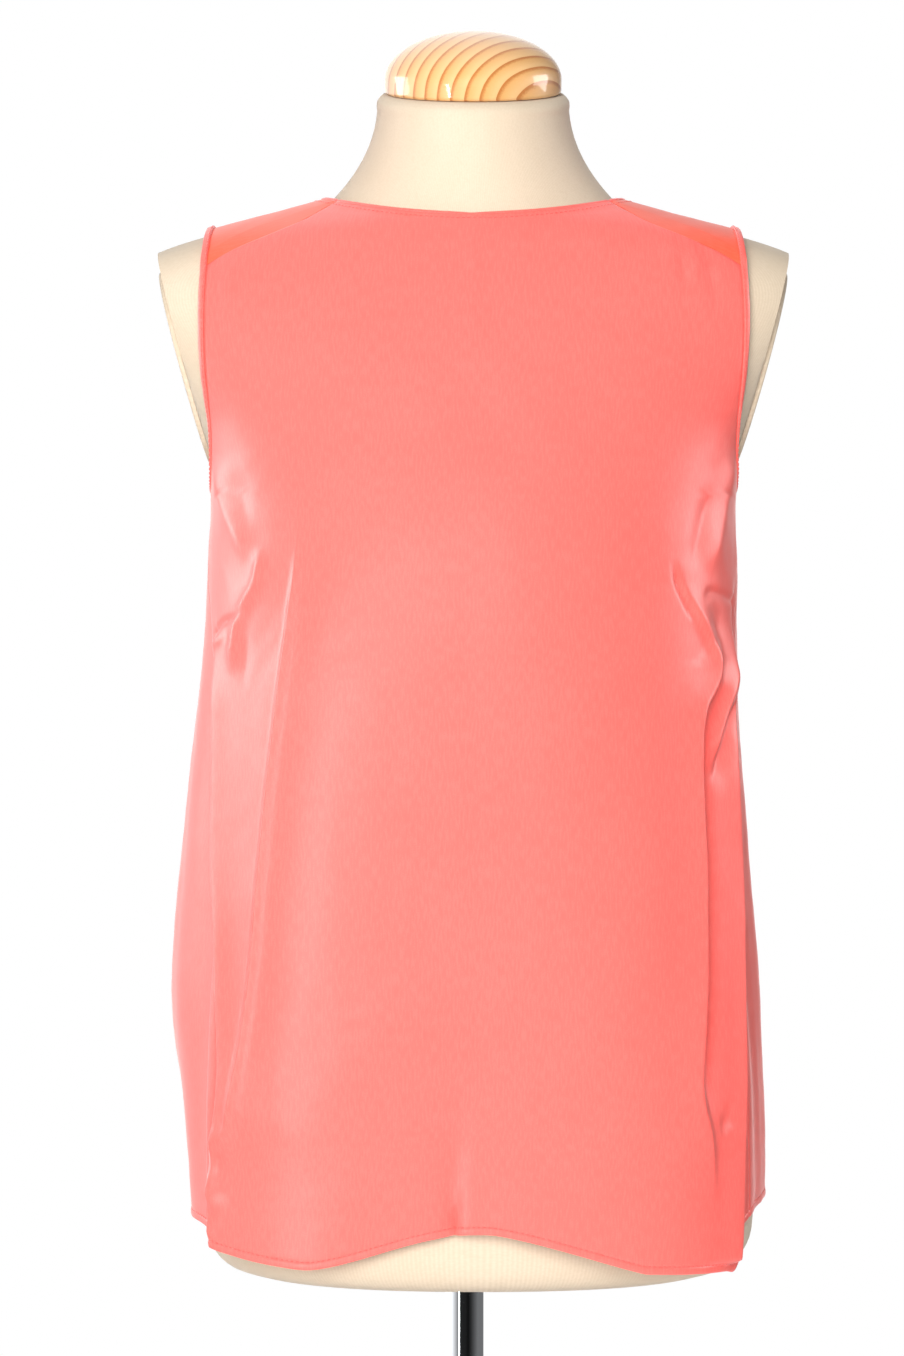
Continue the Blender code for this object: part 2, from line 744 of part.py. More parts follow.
def build_stand():
    chrome = material("chrome", (0.80, 0.80, 0.82), 0.08, 1.0)
    foot = BASE_EDGE + BASE_DOME
    profile = [
        (BASE_RADIUS - STAND_EDGE, 0.0),
        (BASE_RADIUS, STAND_EDGE),
        (BASE_RADIUS, BASE_EDGE - STAND_EDGE),
        (BASE_RADIUS - STAND_EDGE, BASE_EDGE),
    ]
    for n in range(1, DOME_RINGS + 1):
        share = n / DOME_RINGS
        radius = mix(BASE_RADIUS - STAND_EDGE, COLLAR_RADIUS, share)
        profile.append((radius, BASE_EDGE + BASE_DOME * ease(share)))
    place = Matrix.Translation((POLE_X, 0, 0))
    turned("base", profile, BASE_SIDES, chrome, place)
    low = foot + SEAM_GAP
    collar = [
        (COLLAR_RADIUS - STAND_EDGE, low),
        (COLLAR_RADIUS, low + STAND_EDGE),
        (COLLAR_RADIUS, low + COLLAR_HEIGHT - STAND_EDGE),
        (COLLAR_RADIUS - STAND_EDGE, low + COLLAR_HEIGHT),
    ]
    turned("pole_collar", collar, POLE_SIDES, chrome, place)
    start = low + COLLAR_HEIGHT + SEAM_GAP
    end = FORM_BOTTOM - SEAM_GAP
    turned("pole", [(POLE_RADIUS, start), (POLE_RADIUS, end)], POLE_SIDES, chrome, place)


for old in list(bpy.data.objects):
    bpy.data.objects.remove(old)
build_blouse()
build_form()
build_cap()
build_stand()
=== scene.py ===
"""A sleeveless blouse on a limbless dress form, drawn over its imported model.

Metres, +Z up, the front faces -Y.  The blouse is one surface, blouse(angle, level): the angle
goes round the body in degrees (0 the wearer's left, 90 the back, 270 the front), and the level
goes up it (0 the hem, 1 the top of the chest, 2 the neck edge).  Only the tables of creases
and of the folds at the seams are in millimetres.
"""
import math

import bmesh
import bpy
import numpy as np
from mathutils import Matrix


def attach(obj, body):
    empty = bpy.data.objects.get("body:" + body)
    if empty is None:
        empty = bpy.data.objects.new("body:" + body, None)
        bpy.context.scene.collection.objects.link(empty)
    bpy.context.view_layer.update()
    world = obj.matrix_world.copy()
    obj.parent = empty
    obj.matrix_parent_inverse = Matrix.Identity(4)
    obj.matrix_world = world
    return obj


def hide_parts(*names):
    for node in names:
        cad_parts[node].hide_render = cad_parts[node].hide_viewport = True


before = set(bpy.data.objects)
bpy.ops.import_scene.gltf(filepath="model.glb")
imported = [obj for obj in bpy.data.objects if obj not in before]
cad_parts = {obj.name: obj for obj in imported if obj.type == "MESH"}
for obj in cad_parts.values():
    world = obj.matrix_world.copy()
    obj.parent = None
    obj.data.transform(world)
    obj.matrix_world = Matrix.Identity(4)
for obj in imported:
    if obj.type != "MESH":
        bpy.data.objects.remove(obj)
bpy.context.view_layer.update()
bpy.ops.object.select_all(action="DESELECT")


# ---------------------------------------------------------------- the form's body
# The limbless form is a moulded shell under a cream cotton rib jersey, which is pulled over
# it like a stocking, turned in under the neck cap and stuck down under the hips.

JERSEY_LIGHT = "#D5C5B0"
JERSEY_SHADE = "#CAB8A0"
RIB_PITCH = 0.0021
CHEST_TOP = 0.800
NECK_TOP = 0.997
NECK_RADIUS = 0.0570
NECK_TOP_LEAN = -0.010
NECK_TILT = math.radians(15.5)
NECK_BASE_HALF = 0.0870
NECK_BASE_FRONT = 0.0700
NECK_BASE_BACK = 0.0600
NECK_BASE_SIDE_Z = 0.9345
NECK_BASE_FRONT_Z = 0.9160
NECK_BASE_BACK_Z = 0.9470
SHOULDER_SQUARE = 7.0
FORM_SLOPE = 0.270
ARM_X = 0.1885
ARM_Z = 0.9080
ARM_LEAN = 0.262
ARM_CUT_Z = 0.749
FORM_COLUMNS = 176
# the jersey's turned edge under the cap: how far in it ends and how far it rises
TURNED_EDGE_INSET = 0.0030
TURNED_EDGE_RISE = 0.0022
JOIN_DISTANCE = 0.00001

# height, half width, depth in front, depth behind, squareness, shift of the middle
FORM_SECTIONS = (
    (0.300, 0.1390, 0.0900, 0.0950, 2.3, 0.0035),
    (0.3035, 0.1500, 0.0985, 0.1035, 2.3, 0.0035),
    (0.311, 0.1580, 0.1045, 0.1090, 2.3, 0.0035),
    (0.324, 0.1630, 0.1075, 0.1125, 2.3, 0.0035),
    (0.360, 0.1640, 0.1080, 0.1140, 2.3, 0.0030),
    (0.420, 0.1600, 0.1050, 0.1110, 2.3, 0.0020),
    (0.480, 0.1440, 0.0960, 0.0970, 2.25, 0.0),
    (0.550, 0.1250, 0.0870, 0.0820, 2.2, 0.0),
    (0.600, 0.1260, 0.0920, 0.0830, 2.2, 0.0),
    (0.660, 0.1350, 0.1070, 0.0920, 2.2, 0.0),
    (0.720, 0.1430, 0.1200, 0.0990, 2.3, 0.0),
    (0.760, 0.1475, 0.1150, 0.1030, 2.4, 0.0),
    (0.800, 0.1640, 0.1060, 0.1060, 2.5, 0.0),
    (0.850, 0.1900, 0.0960, 0.1070, 2.5, 0.0),
    (0.900, 0.2150, 0.0880, 0.1020, 2.5, 0.0),
    (0.950, 0.2250, 0.0800, 0.0900, 2.5, 0.0),
)


def mix(a, b, share):
    return a + (b - a) * share


def ease(share):
    """A soft step from 0 to 1."""
    share = np.clip(share, 0.0, 1.0)
    return share * share * (3 - 2 * share)


def read_table(rows, at):
    """The other columns of a table at values of its first, smooth between its rows."""
    rows = np.array(rows, float)
    at = np.clip(np.asarray(at, float), rows[0, 0], rows[-1, 0])
    i = np.clip(np.searchsorted(rows[:, 0], at, side="right") - 1, 0, len(rows) - 2)
    low, high = rows[i], rows[i + 1]
    before = rows[np.maximum(i - 1, 0)]
    after = rows[np.minimum(i + 2, len(rows) - 1)]
    span = high[..., :1] - low[..., :1]
    t = (at[..., None] - low[..., :1]) / span
    slope_in = (high - before) / (high[..., :1] - before[..., :1]) * span
    slope_out = (after - low) / (after[..., :1] - low[..., :1]) * span
    values = (2 * t**3 - 3 * t**2 + 1) * low + (t**3 - 2 * t**2 + t) * slope_in
    values += (3 * t**2 - 2 * t**3) * high + (t**3 - t**2) * slope_out
    return values[..., 1:]


def power(value, exponent):
    return np.sign(value) * np.abs(value) ** exponent


def oval(sizes, angle):
    """The x and y of a horizontal section at an angle in degrees."""
    half_width, front, back, square, middle = np.moveaxis(sizes, -1, 0)
    turn = np.radians(angle)
    depth = np.where(np.sin(turn) > 0, back, front)
    x = middle + half_width * power(np.cos(turn), 2 / square)
    return x, depth * power(np.sin(turn), 2 / square)


def neck_base(angle, spread, lift):
    """The edge where the shoulders meet the neck, which is lower in front."""
    across, along = np.cos(np.radians(angle)), np.sin(np.radians(angle))
    front, back = np.maximum(0, -along), np.maximum(0, along)
    depth = np.where(along > 0, NECK_BASE_BACK + spread, NECK_BASE_FRONT + spread)
    z = NECK_BASE_SIDE_Z + (NECK_BASE_FRONT_Z - NECK_BASE_SIDE_Z) * front**1.6
    z = z + (NECK_BASE_BACK_Z - NECK_BASE_SIDE_Z) * back**1.6 + lift
    return (NECK_BASE_HALF + spread) * across, depth * along, z


def shoulder(sections, angle, rise, slope, spread=0.0, lift=0.0):
    """Points over the shoulders: rise 0 is on the chest and 1 on the neck base."""
    in_x, in_y, in_z = neck_base(angle, spread, lift)
    square = mix(2.0, SHOULDER_SQUARE, np.cos(np.radians(angle)) ** 2)
    across, up = np.cos(math.pi / 2 * rise), np.sin(math.pi / 2 * rise)
    scale = (np.abs(across) ** square + np.abs(up) ** square) ** (-1 / square)
    reach, height = across * scale, up * scale
    out_x, out_y = oval(read_table(sections, mix(CHEST_TOP, in_z, height)), angle)
    x, y = mix(in_x, out_x, reach), mix(in_y, out_y, reach)
    fall = slope * np.maximum(0, np.abs(x) - np.abs(in_x))
    return np.stack([x, y, mix(CHEST_TOP, in_z - fall, height)], axis=-1)


def neck_ring(angle, share, inset=0.0, raised=0.0):
    """A ring of the form's neck, from its base (0) to its tilted top (1)."""
    base_x, base_y, base_z = neck_base(angle, 0.0, 0.0)
    top_x = (NECK_RADIUS - inset) * np.cos(np.radians(angle))
    top_y = (NECK_RADIUS - inset) * np.sin(np.radians(angle))
    top_z = NECK_TOP + top_y * math.tan(NECK_TILT) + raised
    flare = (1 - share) ** 2.2
    x, y = mix(top_x, base_x, flare), mix(top_y + NECK_TOP_LEAN, base_y, flare)
    return np.stack([x, y, mix(base_z, top_z, share)], axis=-1)


def grid_faces(rows, columns, first=0, flip=False):
    """The faces of a grid of points, which are numbered row by row."""
    low = first + np.arange(rows - 1)[:, None] * columns + np.arange(columns - 1)[None, :]
    corners = (low, low + 1, low + columns + 1, low + columns)
    if flip:
        corners = corners[::-1]
    return np.stack(corners, axis=-1).reshape(-1, 4).tolist()


def add_piece(name, points, faces, places=None, sharp=50):
    """A mesh object at the origin, with a UV map in metres of the material."""
    mesh = bpy.data.meshes.new(name)
    mesh.from_pydata(np.asarray(points, float).tolist(), [], faces)
    if places is not None:
        layer = mesh.uv_layers.new(name="UVMap")
        corner = np.empty(len(mesh.loops), dtype=np.int32)
        mesh.loops.foreach_get("vertex_index", corner)
        layer.data.foreach_set("uv", np.asarray(places, np.float32)[corner].ravel())
    mesh.shade_smooth()
    mesh.set_sharp_from_angle(angle=math.radians(sharp))
    made = bpy.data.objects.new(name, mesh)
    bpy.context.collection.objects.link(made)
    return made


def linear(colour):
    """A hex sRGB colour as linear red, green, blue and alpha."""
    parts = [int(colour[i : i + 2], 16) / 255 for i in (1, 3, 5)]
    return [p / 12.92 if p <= 0.04045 else ((p + 0.055) / 1.055) ** 2.4 for p in parts] + [1.0]


def set_up(tree, node, settings, links):
    """Sets a node's properties or its sockets, by name or number, and links sockets to it.  A
    colour ramp's tones are places with their colours; a linked node gives its first output."""
    for key, value in settings.items():
        if key == "tones":
            stops = node.color_ramp.elements
            while len(stops) < len(value):
                stops.new(1.0)
            for stop, (place, colour) in zip(stops, value):
                stop.position, stop.color = place, linear(colour)
        elif isinstance(key, int) or key in node.inputs:
            node.inputs[key].default_value = value
        else:
            setattr(node, key, value)
    for key, source in links.items():
        tree.links.new(getattr(source, "outputs", [source])[0], node.inputs[key])
    return node


def add_node(tree, kind, settings=None, links=None):
    """Adds a shader node with its settings and links."""
    return set_up(tree, tree.nodes.new("ShaderNode" + kind), settings or {}, links or {})


def new_material(name):
    """An empty material with its shader, and the shader's tree."""
    made = bpy.data.materials.new(name)
    made.use_nodes = True
    return made, made.node_tree, made.node_tree.nodes["Principled BSDF"]


def mend(piece, join=True, cut=None):
    """Joins a mesh's doubled points, makes its cuts, and turns its faces outwards."""
    maker = bmesh.new()
    maker.from_mesh(piece.data)
    if join:
        bmesh.ops.remove_doubles(maker, verts=maker.verts, dist=JOIN_DISTANCE)
    if cut:
        cut(maker)
    bmesh.ops.recalc_face_normals(maker, faces=maker.faces)
    maker.to_mesh(piece.data)
    maker.free()


def finish_piece(piece, surface, slot, *nodes):
    """Gives a piece its material and its place in the frame."""
    piece.data.materials.append(surface)
    if nodes:
        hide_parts(*nodes)
    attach(piece, "root")
    return piece


# Cotton rib jersey: matt, with fine upright ribs of knitted loops and a little fuzz that
# catches the light at the edges.  Real ribs are 1.2 mm apart and are drawn 2.1 mm apart to show.
jersey, tree, shader = new_material("cotton_rib_jersey")
place = add_node(tree, "UVMap", {"uv_map": "UVMap"})
rib_settings = {"Scale": math.tau / (20 * RIB_PITCH), "Distortion": 0.6, "Detail": 2.0, "Detail Scale": 2.0}
ribs = add_node(tree, "TexWave", rib_settings, {"Vector": place})
stretch = add_node(tree, "Mapping", {"Scale": (1.0, 1.8, 1.0)}, {"Vector": place})
loops = add_node(tree, "TexVoronoi", {"Scale": 520.0}, {"Vector": stretch})
clouds = add_node(tree, "TexNoise", {"Scale": 14.0, "Detail": 4.0}, {"Vector": place})
faint = add_node(tree, "Math", {"operation": "MULTIPLY", 1: 0.4}, {0: ribs.outputs["Fac"]})
knit = add_node(tree, "Math", {"operation": "MULTIPLY_ADD", 1: -0.5}, {0: loops, 2: faint})
patchy = add_node(tree, "Math", {"operation": "MULTIPLY_ADD", 1: 0.9}, {0: clouds, 2: knit})
tones = add_node(tree, "ValToRGB", {"tones": ((0.1, JERSEY_SHADE), (1.0, JERSEY_LIGHT))}, {"Fac": patchy})
relief = add_node(tree, "Bump", {"Strength": 0.22, "Distance": 0.0004}, {"Height": knit})
finish = {"Roughness": 0.88, "Sheen Weight": 0.12, "Sheen Roughness": 0.5}
set_up(tree, shader, finish, {"Base Color": tones, "Normal": relief})

turns = np.linspace(0, 360, FORM_COLUMNS + 1)
# close rows round the turned-in lower edge, then even ones up to the chest
low_heights = (0.3, 0.3006, 0.3014, 0.3024, 0.3035, 0.3055, 0.308, 0.311, 0.315, 0.319, 0.324)
rings = []
for height in (*low_heights, *np.linspace(0.330, CHEST_TOP, 60)[:-1]):
    x, y = oval(read_table(FORM_SECTIONS, np.full_like(turns, height)), turns)
    rings.append(np.stack([x, y, np.full_like(turns, height)], axis=-1))
for rise in np.linspace(0, 1, 46)[:-1]:
    rings.append(shoulder(FORM_SECTIONS, turns, np.full_like(turns, rise), FORM_SLOPE))
for share in (0, 0.04, 0.08, 0.13, 0.19, 0.26, 0.34, 0.43, 0.52, 0.62, 0.72, 0.8, 0.86):
    rings.append(neck_ring(turns, share))
# the jersey's turned edge, a soft roll just under the cap
for share, out in ((0.885, 0.0), (0.90, 0.0002), (0.93, 0.0005), (0.965, 0.0004), (0.985, -0.0001)):
    rings.append(neck_ring(turns, share, inset=-out))
rings.append(neck_ring(turns, 1.0, 0.0012, 0.0006))
rings.append(neck_ring(turns, 1.0, TURNED_EDGE_INSET, TURNED_EDGE_RISE))
points = np.stack(rings)
places = np.stack([np.broadcast_to(turns / 360 * 0.9, points.shape[:2]), points[..., 2]], axis=-1)
body = add_piece("jersey_form", points.reshape(-1, 3), grid_faces(*points.shape[:2]), places.reshape(-1, 2))


def cut_armholes(maker):
    """Cuts the shell flat where each arm would start, and closes its open ends."""
    for side in (-1, 1):
        high = [vert for vert in maker.verts if vert.co.z > ARM_CUT_Z]
        held = set(high)
        faces = [face for face in maker.faces if all(vert in held for vert in face.verts)]
        edges = [edge for edge in maker.edges if all(vert in held for vert in edge.verts)]
        bmesh.ops.bisect_plane(
            maker,
            geom=high + edges + faces,
            plane_co=(side * ARM_X, 0, ARM_Z),
            plane_no=(side, 0, -ARM_LEAN),
            clear_outer=True,
        )
    bmesh.ops.holes_fill(maker, edges=[edge for edge in maker.edges if edge.is_boundary], sides=0)


mend(body, cut=cut_armholes)
body.data.shade_smooth()
body.data.set_sharp_from_angle(angle=math.radians(40))
finish_piece(body, jersey, "cream_jersey", "form_body")


# ---------------------------------------------------------------- the armhole plates
# Where the arms would start, an egg-shaped board closes each armhole.  It is covered in the
# same jersey, with a raised rim where the cover is drawn over the board's edge.

PLATE_Z = 0.8370
PLATE_Y = 0.0040
PLATE_HALF_HEIGHT = 0.0600
PLATE_HALF_WIDTH = 0.0520
PLATE_EGG = 0.16
PLATE_COLUMNS = 96
# how far in from the edge, and how high
PLATE_SHAPE = (
    (0.0, 0.0003), (0.0, 0.0017), (0.0004, 0.0026), (0.0012, 0.0032), (0.0022, 0.0033),
    (0.0034, 0.0030), (0.0042, 0.0023), (0.0050, 0.0021), (0.0120, 0.0022), (0.0260, 0.0024),
)

for name, side in (("right", -1), ("left", 1)):
    outward = np.array((side, 0, -ARM_LEAN)) / math.hypot(1, ARM_LEAN)
    upward = np.array((side * ARM_LEAN, 0, 1)) / math.hypot(1, ARM_LEAN)
    middle = np.array((side * (ARM_X + ARM_LEAN * (PLATE_Z - ARM_Z)), PLATE_Y, PLATE_Z))
    turn = np.radians(np.linspace(0, 360, PLATE_COLUMNS + 1))[:, None]
    rings = []
    flats = []
    for inset, height in PLATE_SHAPE:
        across = (PLATE_HALF_WIDTH - inset) * (1 + PLATE_EGG * np.sin(turn)) * np.cos(turn)
        along = (PLATE_HALF_HEIGHT - inset) * np.sin(turn)
        rings.append(middle + np.array((0, side, 0)) * across + upward * along + outward * height)
        flats.append(np.concatenate([across, along], axis=1))
    points, places = np.stack(rings), np.stack(flats)
    last = (len(PLATE_SHAPE) - 1) * (PLATE_COLUMNS + 1)
    faces = grid_faces(*points.shape[:2])
    faces.append(list(range(last, last + PLATE_COLUMNS)))
    faces.append(list(range(PLATE_COLUMNS - 1, -1, -1)))
    plate = add_piece("arm_plate_cover_" + name, points.reshape(-1, 3), faces, places.reshape(-1, 2))
    mend(plate)
    finish_piece(plate, jersey, "cream_jersey", "arm_plate_" + name)


# ---------------------------------------------------------------- the neck cap
# A low dome turned from one piece of pine, sanded and clear varnished.  Its growth rings
# stand upright and bend over towards one side.  It tilts with the form's cut neck.

CAP_RADIUS = 0.0528
CAP_SIDE = 0.0085
CAP_HEIGHT = 0.0372
CAP_EDGE = 0.0024
GROWTH_RING = 0.0080
# the air left between two hard pieces that touch
GAP = 0.0003

bpy.ops.mesh.primitive_uv_sphere_add(segments=128, ring_count=64, radius=1.0)
cap = bpy.context.object
cap.name = "turned_cap"
cap.scale = (CAP_RADIUS, CAP_RADIUS, CAP_HEIGHT - CAP_SIDE)
bpy.ops.object.transform_apply(location=True, rotation=True, scale=True)
bpy.ops.object.mode_set(mode="EDIT")
bpy.ops.mesh.select_all(action="SELECT")
bpy.ops.mesh.bisect(plane_co=(0, 0, 0.0001), plane_no=(0, 0, 1), clear_inner=True)
bpy.ops.mesh.extrude_region_move(TRANSFORM_OT_translate={"value": (0, 0, -CAP_SIDE)})
bpy.ops.mesh.edge_face_add()
bpy.ops.mesh.bevel(offset=CAP_EDGE, segments=5)
bpy.ops.object.mode_set(mode="OBJECT")
for vert in cap.data.vertices:
    vert.co.z += CAP_SIDE
cap.location = (0, NECK_TOP_LEAN, NECK_TOP + TURNED_EDGE_RISE + GAP)
cap.rotation_euler = (NECK_TILT, 0, 0)
bpy.ops.object.transform_apply(location=True, rotation=True, scale=True)
bpy.ops.object.shade_smooth_by_angle(angle=math.radians(50))
cap.select_set(False)

# Varnished pine: honey spring wood and thin orange-brown summer rings, fine darker fibres
# along the grain, and a smooth clear coat that gives one sharp highlight.
pine, tree, shader = new_material("varnished_pine")
place = add_node(tree, "TexCoord").outputs["Object"]
# the heart of the log lies outside the cap's left edge, low down
heart = {"Location": (-0.0720, 0.0, -0.9740), "Rotation": (0.0, 0.0, math.radians(22))}
turned = add_node(tree, "Mapping", heart, {"Vector": place})
ring_settings = {
    "wave_type": "RINGS",
    "rings_direction": "Y",
    "wave_profile": "SAW",
    "Scale": math.tau / (20 * GROWTH_RING),
    "Distortion": 1.5,
    "Detail": 2.0,
    "Detail Scale": 0.35,
}
growth = add_node(tree, "TexWave", ring_settings, {"Vector": turned})
along = add_node(tree, "Mapping", {"Scale": (1.0, 0.06, 1.0)}, {"Vector": turned})
fibres = add_node(tree, "TexNoise", {"Scale": 1400.0, "Detail": 3.0}, {"Vector": along})
rings = growth.outputs["Fac"]
figure = add_node(tree, "Math", {"operation": "MULTIPLY_ADD", 1: 0.22}, {0: fibres, 2: rings})
honey = ((0.30, "#E2B47C"), (0.82, "#D8A263"), (1.0, "#B8743A"))
wood = add_node(tree, "ValToRGB", {"tones": honey}, {"Fac": figure})
relief = add_node(tree, "Bump", {"Strength": 0.08, "Distance": 0.0002}, {"Height": fibres})
finish = {"Roughness": 0.38, "Coat Weight": 0.8, "Coat Roughness": 0.07}
set_up(tree, shader, finish, {"Base Color": wood, "Normal": relief})
finish_piece(cap, pine, "varnished_pine", "neck_cap")


# ---------------------------------------------------------------- the stand
# A chromed steel tube goes up under the form from a collar on a round domed base, whose
# skirt is pressed from sheet steel and chromed with it.

POLE_X = -0.0050
POLE_RADIUS = 0.0114
BASE_RADIUS = 0.150
BASE_EDGE = 0.008
BASE_DOME = 0.016
BASE_STEPS = 16
COLLAR_RADIUS = 0.020
COLLAR_HEIGHT = 0.018
# the collar's lip round the pole, and the step down inside it
COLLAR_LIP = 0.0045
COLLAR_STEP = 0.0012
RIM_BEVEL = 0.002


def pick(piece, test):
    """Selects only the faces whose middle and normal pass a test, in edit mode."""
    bpy.ops.mesh.select_all(action="DESELECT")
    bpy.ops.mesh.select_mode(type="FACE")
    made = bmesh.from_edit_mesh(piece.data)
    for face in made.faces:
        if test(face.calc_center_median(), face.normal):
            face.select_set(True)
    bmesh.update_edit_mesh(piece.data)


def turn_bar(name, columns, radius, low, high, rim=RIM_BEVEL, steps=4):
    """A round bar or disc between two heights with its rims rounded, left in edit mode."""
    bpy.ops.mesh.primitive_cylinder_add(
        vertices=columns, radius=radius, depth=high - low, location=(POLE_X, 0, (low + high) / 2)
    )
    made = bpy.context.object
    made.name = name
    bpy.ops.object.mode_set(mode="EDIT")
    pick(made, lambda middle, normal: abs(normal.z) > 0.9)
    bpy.ops.mesh.bevel(offset=rim, segments=steps)
    return made


def finish_bar(piece, node, angle=40):
    """Back to object mode, applied, smooth, and standing for its CAD node."""
    bpy.ops.object.mode_set(mode="OBJECT")
    bpy.ops.object.transform_apply(location=True, rotation=True, scale=True)
    bpy.ops.object.shade_smooth_by_angle(angle=math.radians(angle))
    piece.select_set(False)
    finish_piece(piece, chrome, "chrome", node)


# Bright chrome plate on steel: a mirror with faint wiping marks that only its gloss shows.
chrome, tree, shader = new_material("bright_chrome_plate")
place = add_node(tree, "TexCoord").outputs["Object"]
wiped = add_node(tree, "Mapping", {"Scale": (1.0, 1.0, 0.15)}, {"Vector": place})
marks = add_node(tree, "TexNoise", {"Scale": 260.0, "Detail": 3.0}, {"Vector": wiped})
gloss = add_node(tree, "MapRange", {"To Min": 0.03, "To Max": 0.10}, {"Value": marks})
set_up(tree, shader, {"Base Color": linear("#DCDEE2"), "Metallic": 1.0}, {"Roughness": gloss})

base = turn_bar("stand_base", 128, BASE_RADIUS, 0, BASE_EDGE)
pick(base, lambda middle, normal: normal.z > 0.9 and middle.xy.length < 0.01)
inward = (BASE_RADIUS - RIM_BEVEL - COLLAR_RADIUS) / BASE_STEPS
for n in range(BASE_STEPS):
    up = BASE_DOME * float(ease((n + 1) / BASE_STEPS) - ease(n / BASE_STEPS))
    bpy.ops.mesh.inset(thickness=inward, depth=up, use_even_offset=False)
finish_bar(base, "base", 35)

collar_low = BASE_EDGE + BASE_DOME + GAP
collar_high = collar_low + COLLAR_HEIGHT
collar = turn_bar("stand_collar", 64, COLLAR_RADIUS, collar_low, collar_high)
pick(collar, lambda middle, normal: normal.z > 0.9 and middle.z > 0)
bpy.ops.mesh.inset(thickness=COLLAR_LIP)
bpy.ops.mesh.inset(thickness=0.0004, depth=-COLLAR_STEP)
finish_bar(collar, "pole_collar")

pole_low, pole_high = collar_high + GAP, FORM_SECTIONS[0][0] - GAP
pole = turn_bar("stand_pole", 64, POLE_RADIUS, pole_low, pole_high, rim=0.0006, steps=3)
finish_bar(pole, "pole")


# ---------------------------------------------------------------- the blouse's surface
# The blouse is cut in polyester crepe: a front and a back joined at the sides, and a yoke
# over both shoulders.  It hangs from the shoulders and bust, clear of the waist and hips.

CLOTH = 0.0008
HEM_HEIGHT = 0.320
CLOTH_SLOPE = 0.276
CLOTH_LIFT = 0.0028
CLOTH_NECK_EASE = 0.0040
CLOTH_EASE = (0.0, 0.0040, 0.0065, 0.0078, 0.0, 0.0)

# height, half width, depth in front, depth behind, squareness, shift of the middle
BLOUSE_SECTIONS = (
    (0.300, 0.1690, 0.1330, 0.1310, 2.3, 0.0),
    (0.360, 0.1710, 0.1330, 0.1310, 2.3, 0.0),
    (0.440, 0.1700, 0.1330, 0.1300, 2.3, 0.0),
    (0.540, 0.1645, 0.1335, 0.1270, 2.3, 0.0),
    (0.640, 0.1600, 0.1335, 0.1220, 2.3, 0.0),
    (0.720, 0.1575, 0.1300, 0.1160, 2.3, 0.0),
    (0.760, 0.1570, 0.1225, 0.1120, 2.4, 0.0),
    (0.800, 0.1660, 0.1125, 0.1105, 2.5, 0.0),
)
CHEST_SECTIONS = np.array(BLOUSE_SECTIONS + tuple(
    tuple(size + extra for size, extra in zip(row, CLOTH_EASE))
    for row in FORM_SECTIONS
    if row[0] > CHEST_TOP
))

# The broad folds: angle at the top, angle at the hem, spread in degrees, depth, depth at the
# hem, the height where the fold starts and the height where it is full
FOLDS = (
    (226, 213, 16, 0.0015, 0.0028, 0.70, 0.46),
    (305, 311, 18, 0.0060, 0.0100, 0.70, 0.46),
    (268, 261, 25, -0.0085, -0.0165, 0.72, 0.48),
    (194, 199, 9, -0.0060, -0.0030, 0.72, 0.50),
    (168, 166, 17, 0.0180, -0.0070, 0.78, 0.475),
    (-5, -8, 8, -0.0080, -0.0030, 0.72, 0.52),
    (14, 17, 15, 0.0090, 0.0130, 0.72, 0.45),
    (141, 139, 13, -0.0060, -0.0100, 0.68, 0.45),
    (42, 44, 13, -0.0060, -0.0090, 0.66, 0.45),
    (118, 116, 13, 0.0050, 0.0085, 0.68, 0.44),
    (66, 66, 14, 0.0055, 0.0095, 0.68, 0.44),
    (92, 91, 12, -0.0030, -0.0065, 0.62, 0.44),
)

# The hem's height at each angle, which closes on itself
HEM = (
    (-60, 0.3160), (-38, 0.3120), (-32.5, 0.3105), (-29, 0.3180), (-25, 0.3300), (-21, 0.3355),
    (-12, 0.3370), (4, 0.3370), (20, 0.3355), (50, 0.3270), (90, 0.3220), (130, 0.3250),
    (168, 0.3300), (190, 0.3330), (203, 0.3310), (216, 0.3225), (230, 0.3175), (240, 0.3170),
    (264, 0.3350), (274, 0.3370), (300, 0.3160),
)

# The cut edge at the armhole: its distance from the middle at each height
ARMHOLE = (
    (0.745, 0.1600), (0.757, 0.1571), (0.765, 0.1550), (0.775, 0.1540), (0.800, 0.1540),
    (0.840, 0.1562), (0.880, 0.1555), (0.905, 0.1540), (0.950, 0.1540),
)

# The side seams' angles at each height, right and left
SIDE_SEAMS = (
    (0.300, 203.0, -20.0),
    (0.450, 202.0, -19.0),
    (0.600, 197.0, -15.0),
    (0.700, 189.0, -8.0),
    (0.757, 180.0, 0.0),
)
# The yoke's seams: how far round from the side its corners lie, in degrees, and the level of
# its seam across the back
YOKE_ARM_TURN = 43.5
YOKE_NECK_TURN = 27.0
YOKE_SEAM_BOW = 9.5
YOKE_BACK_TURN = 35.0
YOKE_CORNER_TURN = 64.0
BACK_YOKE_LEVEL = 1.34


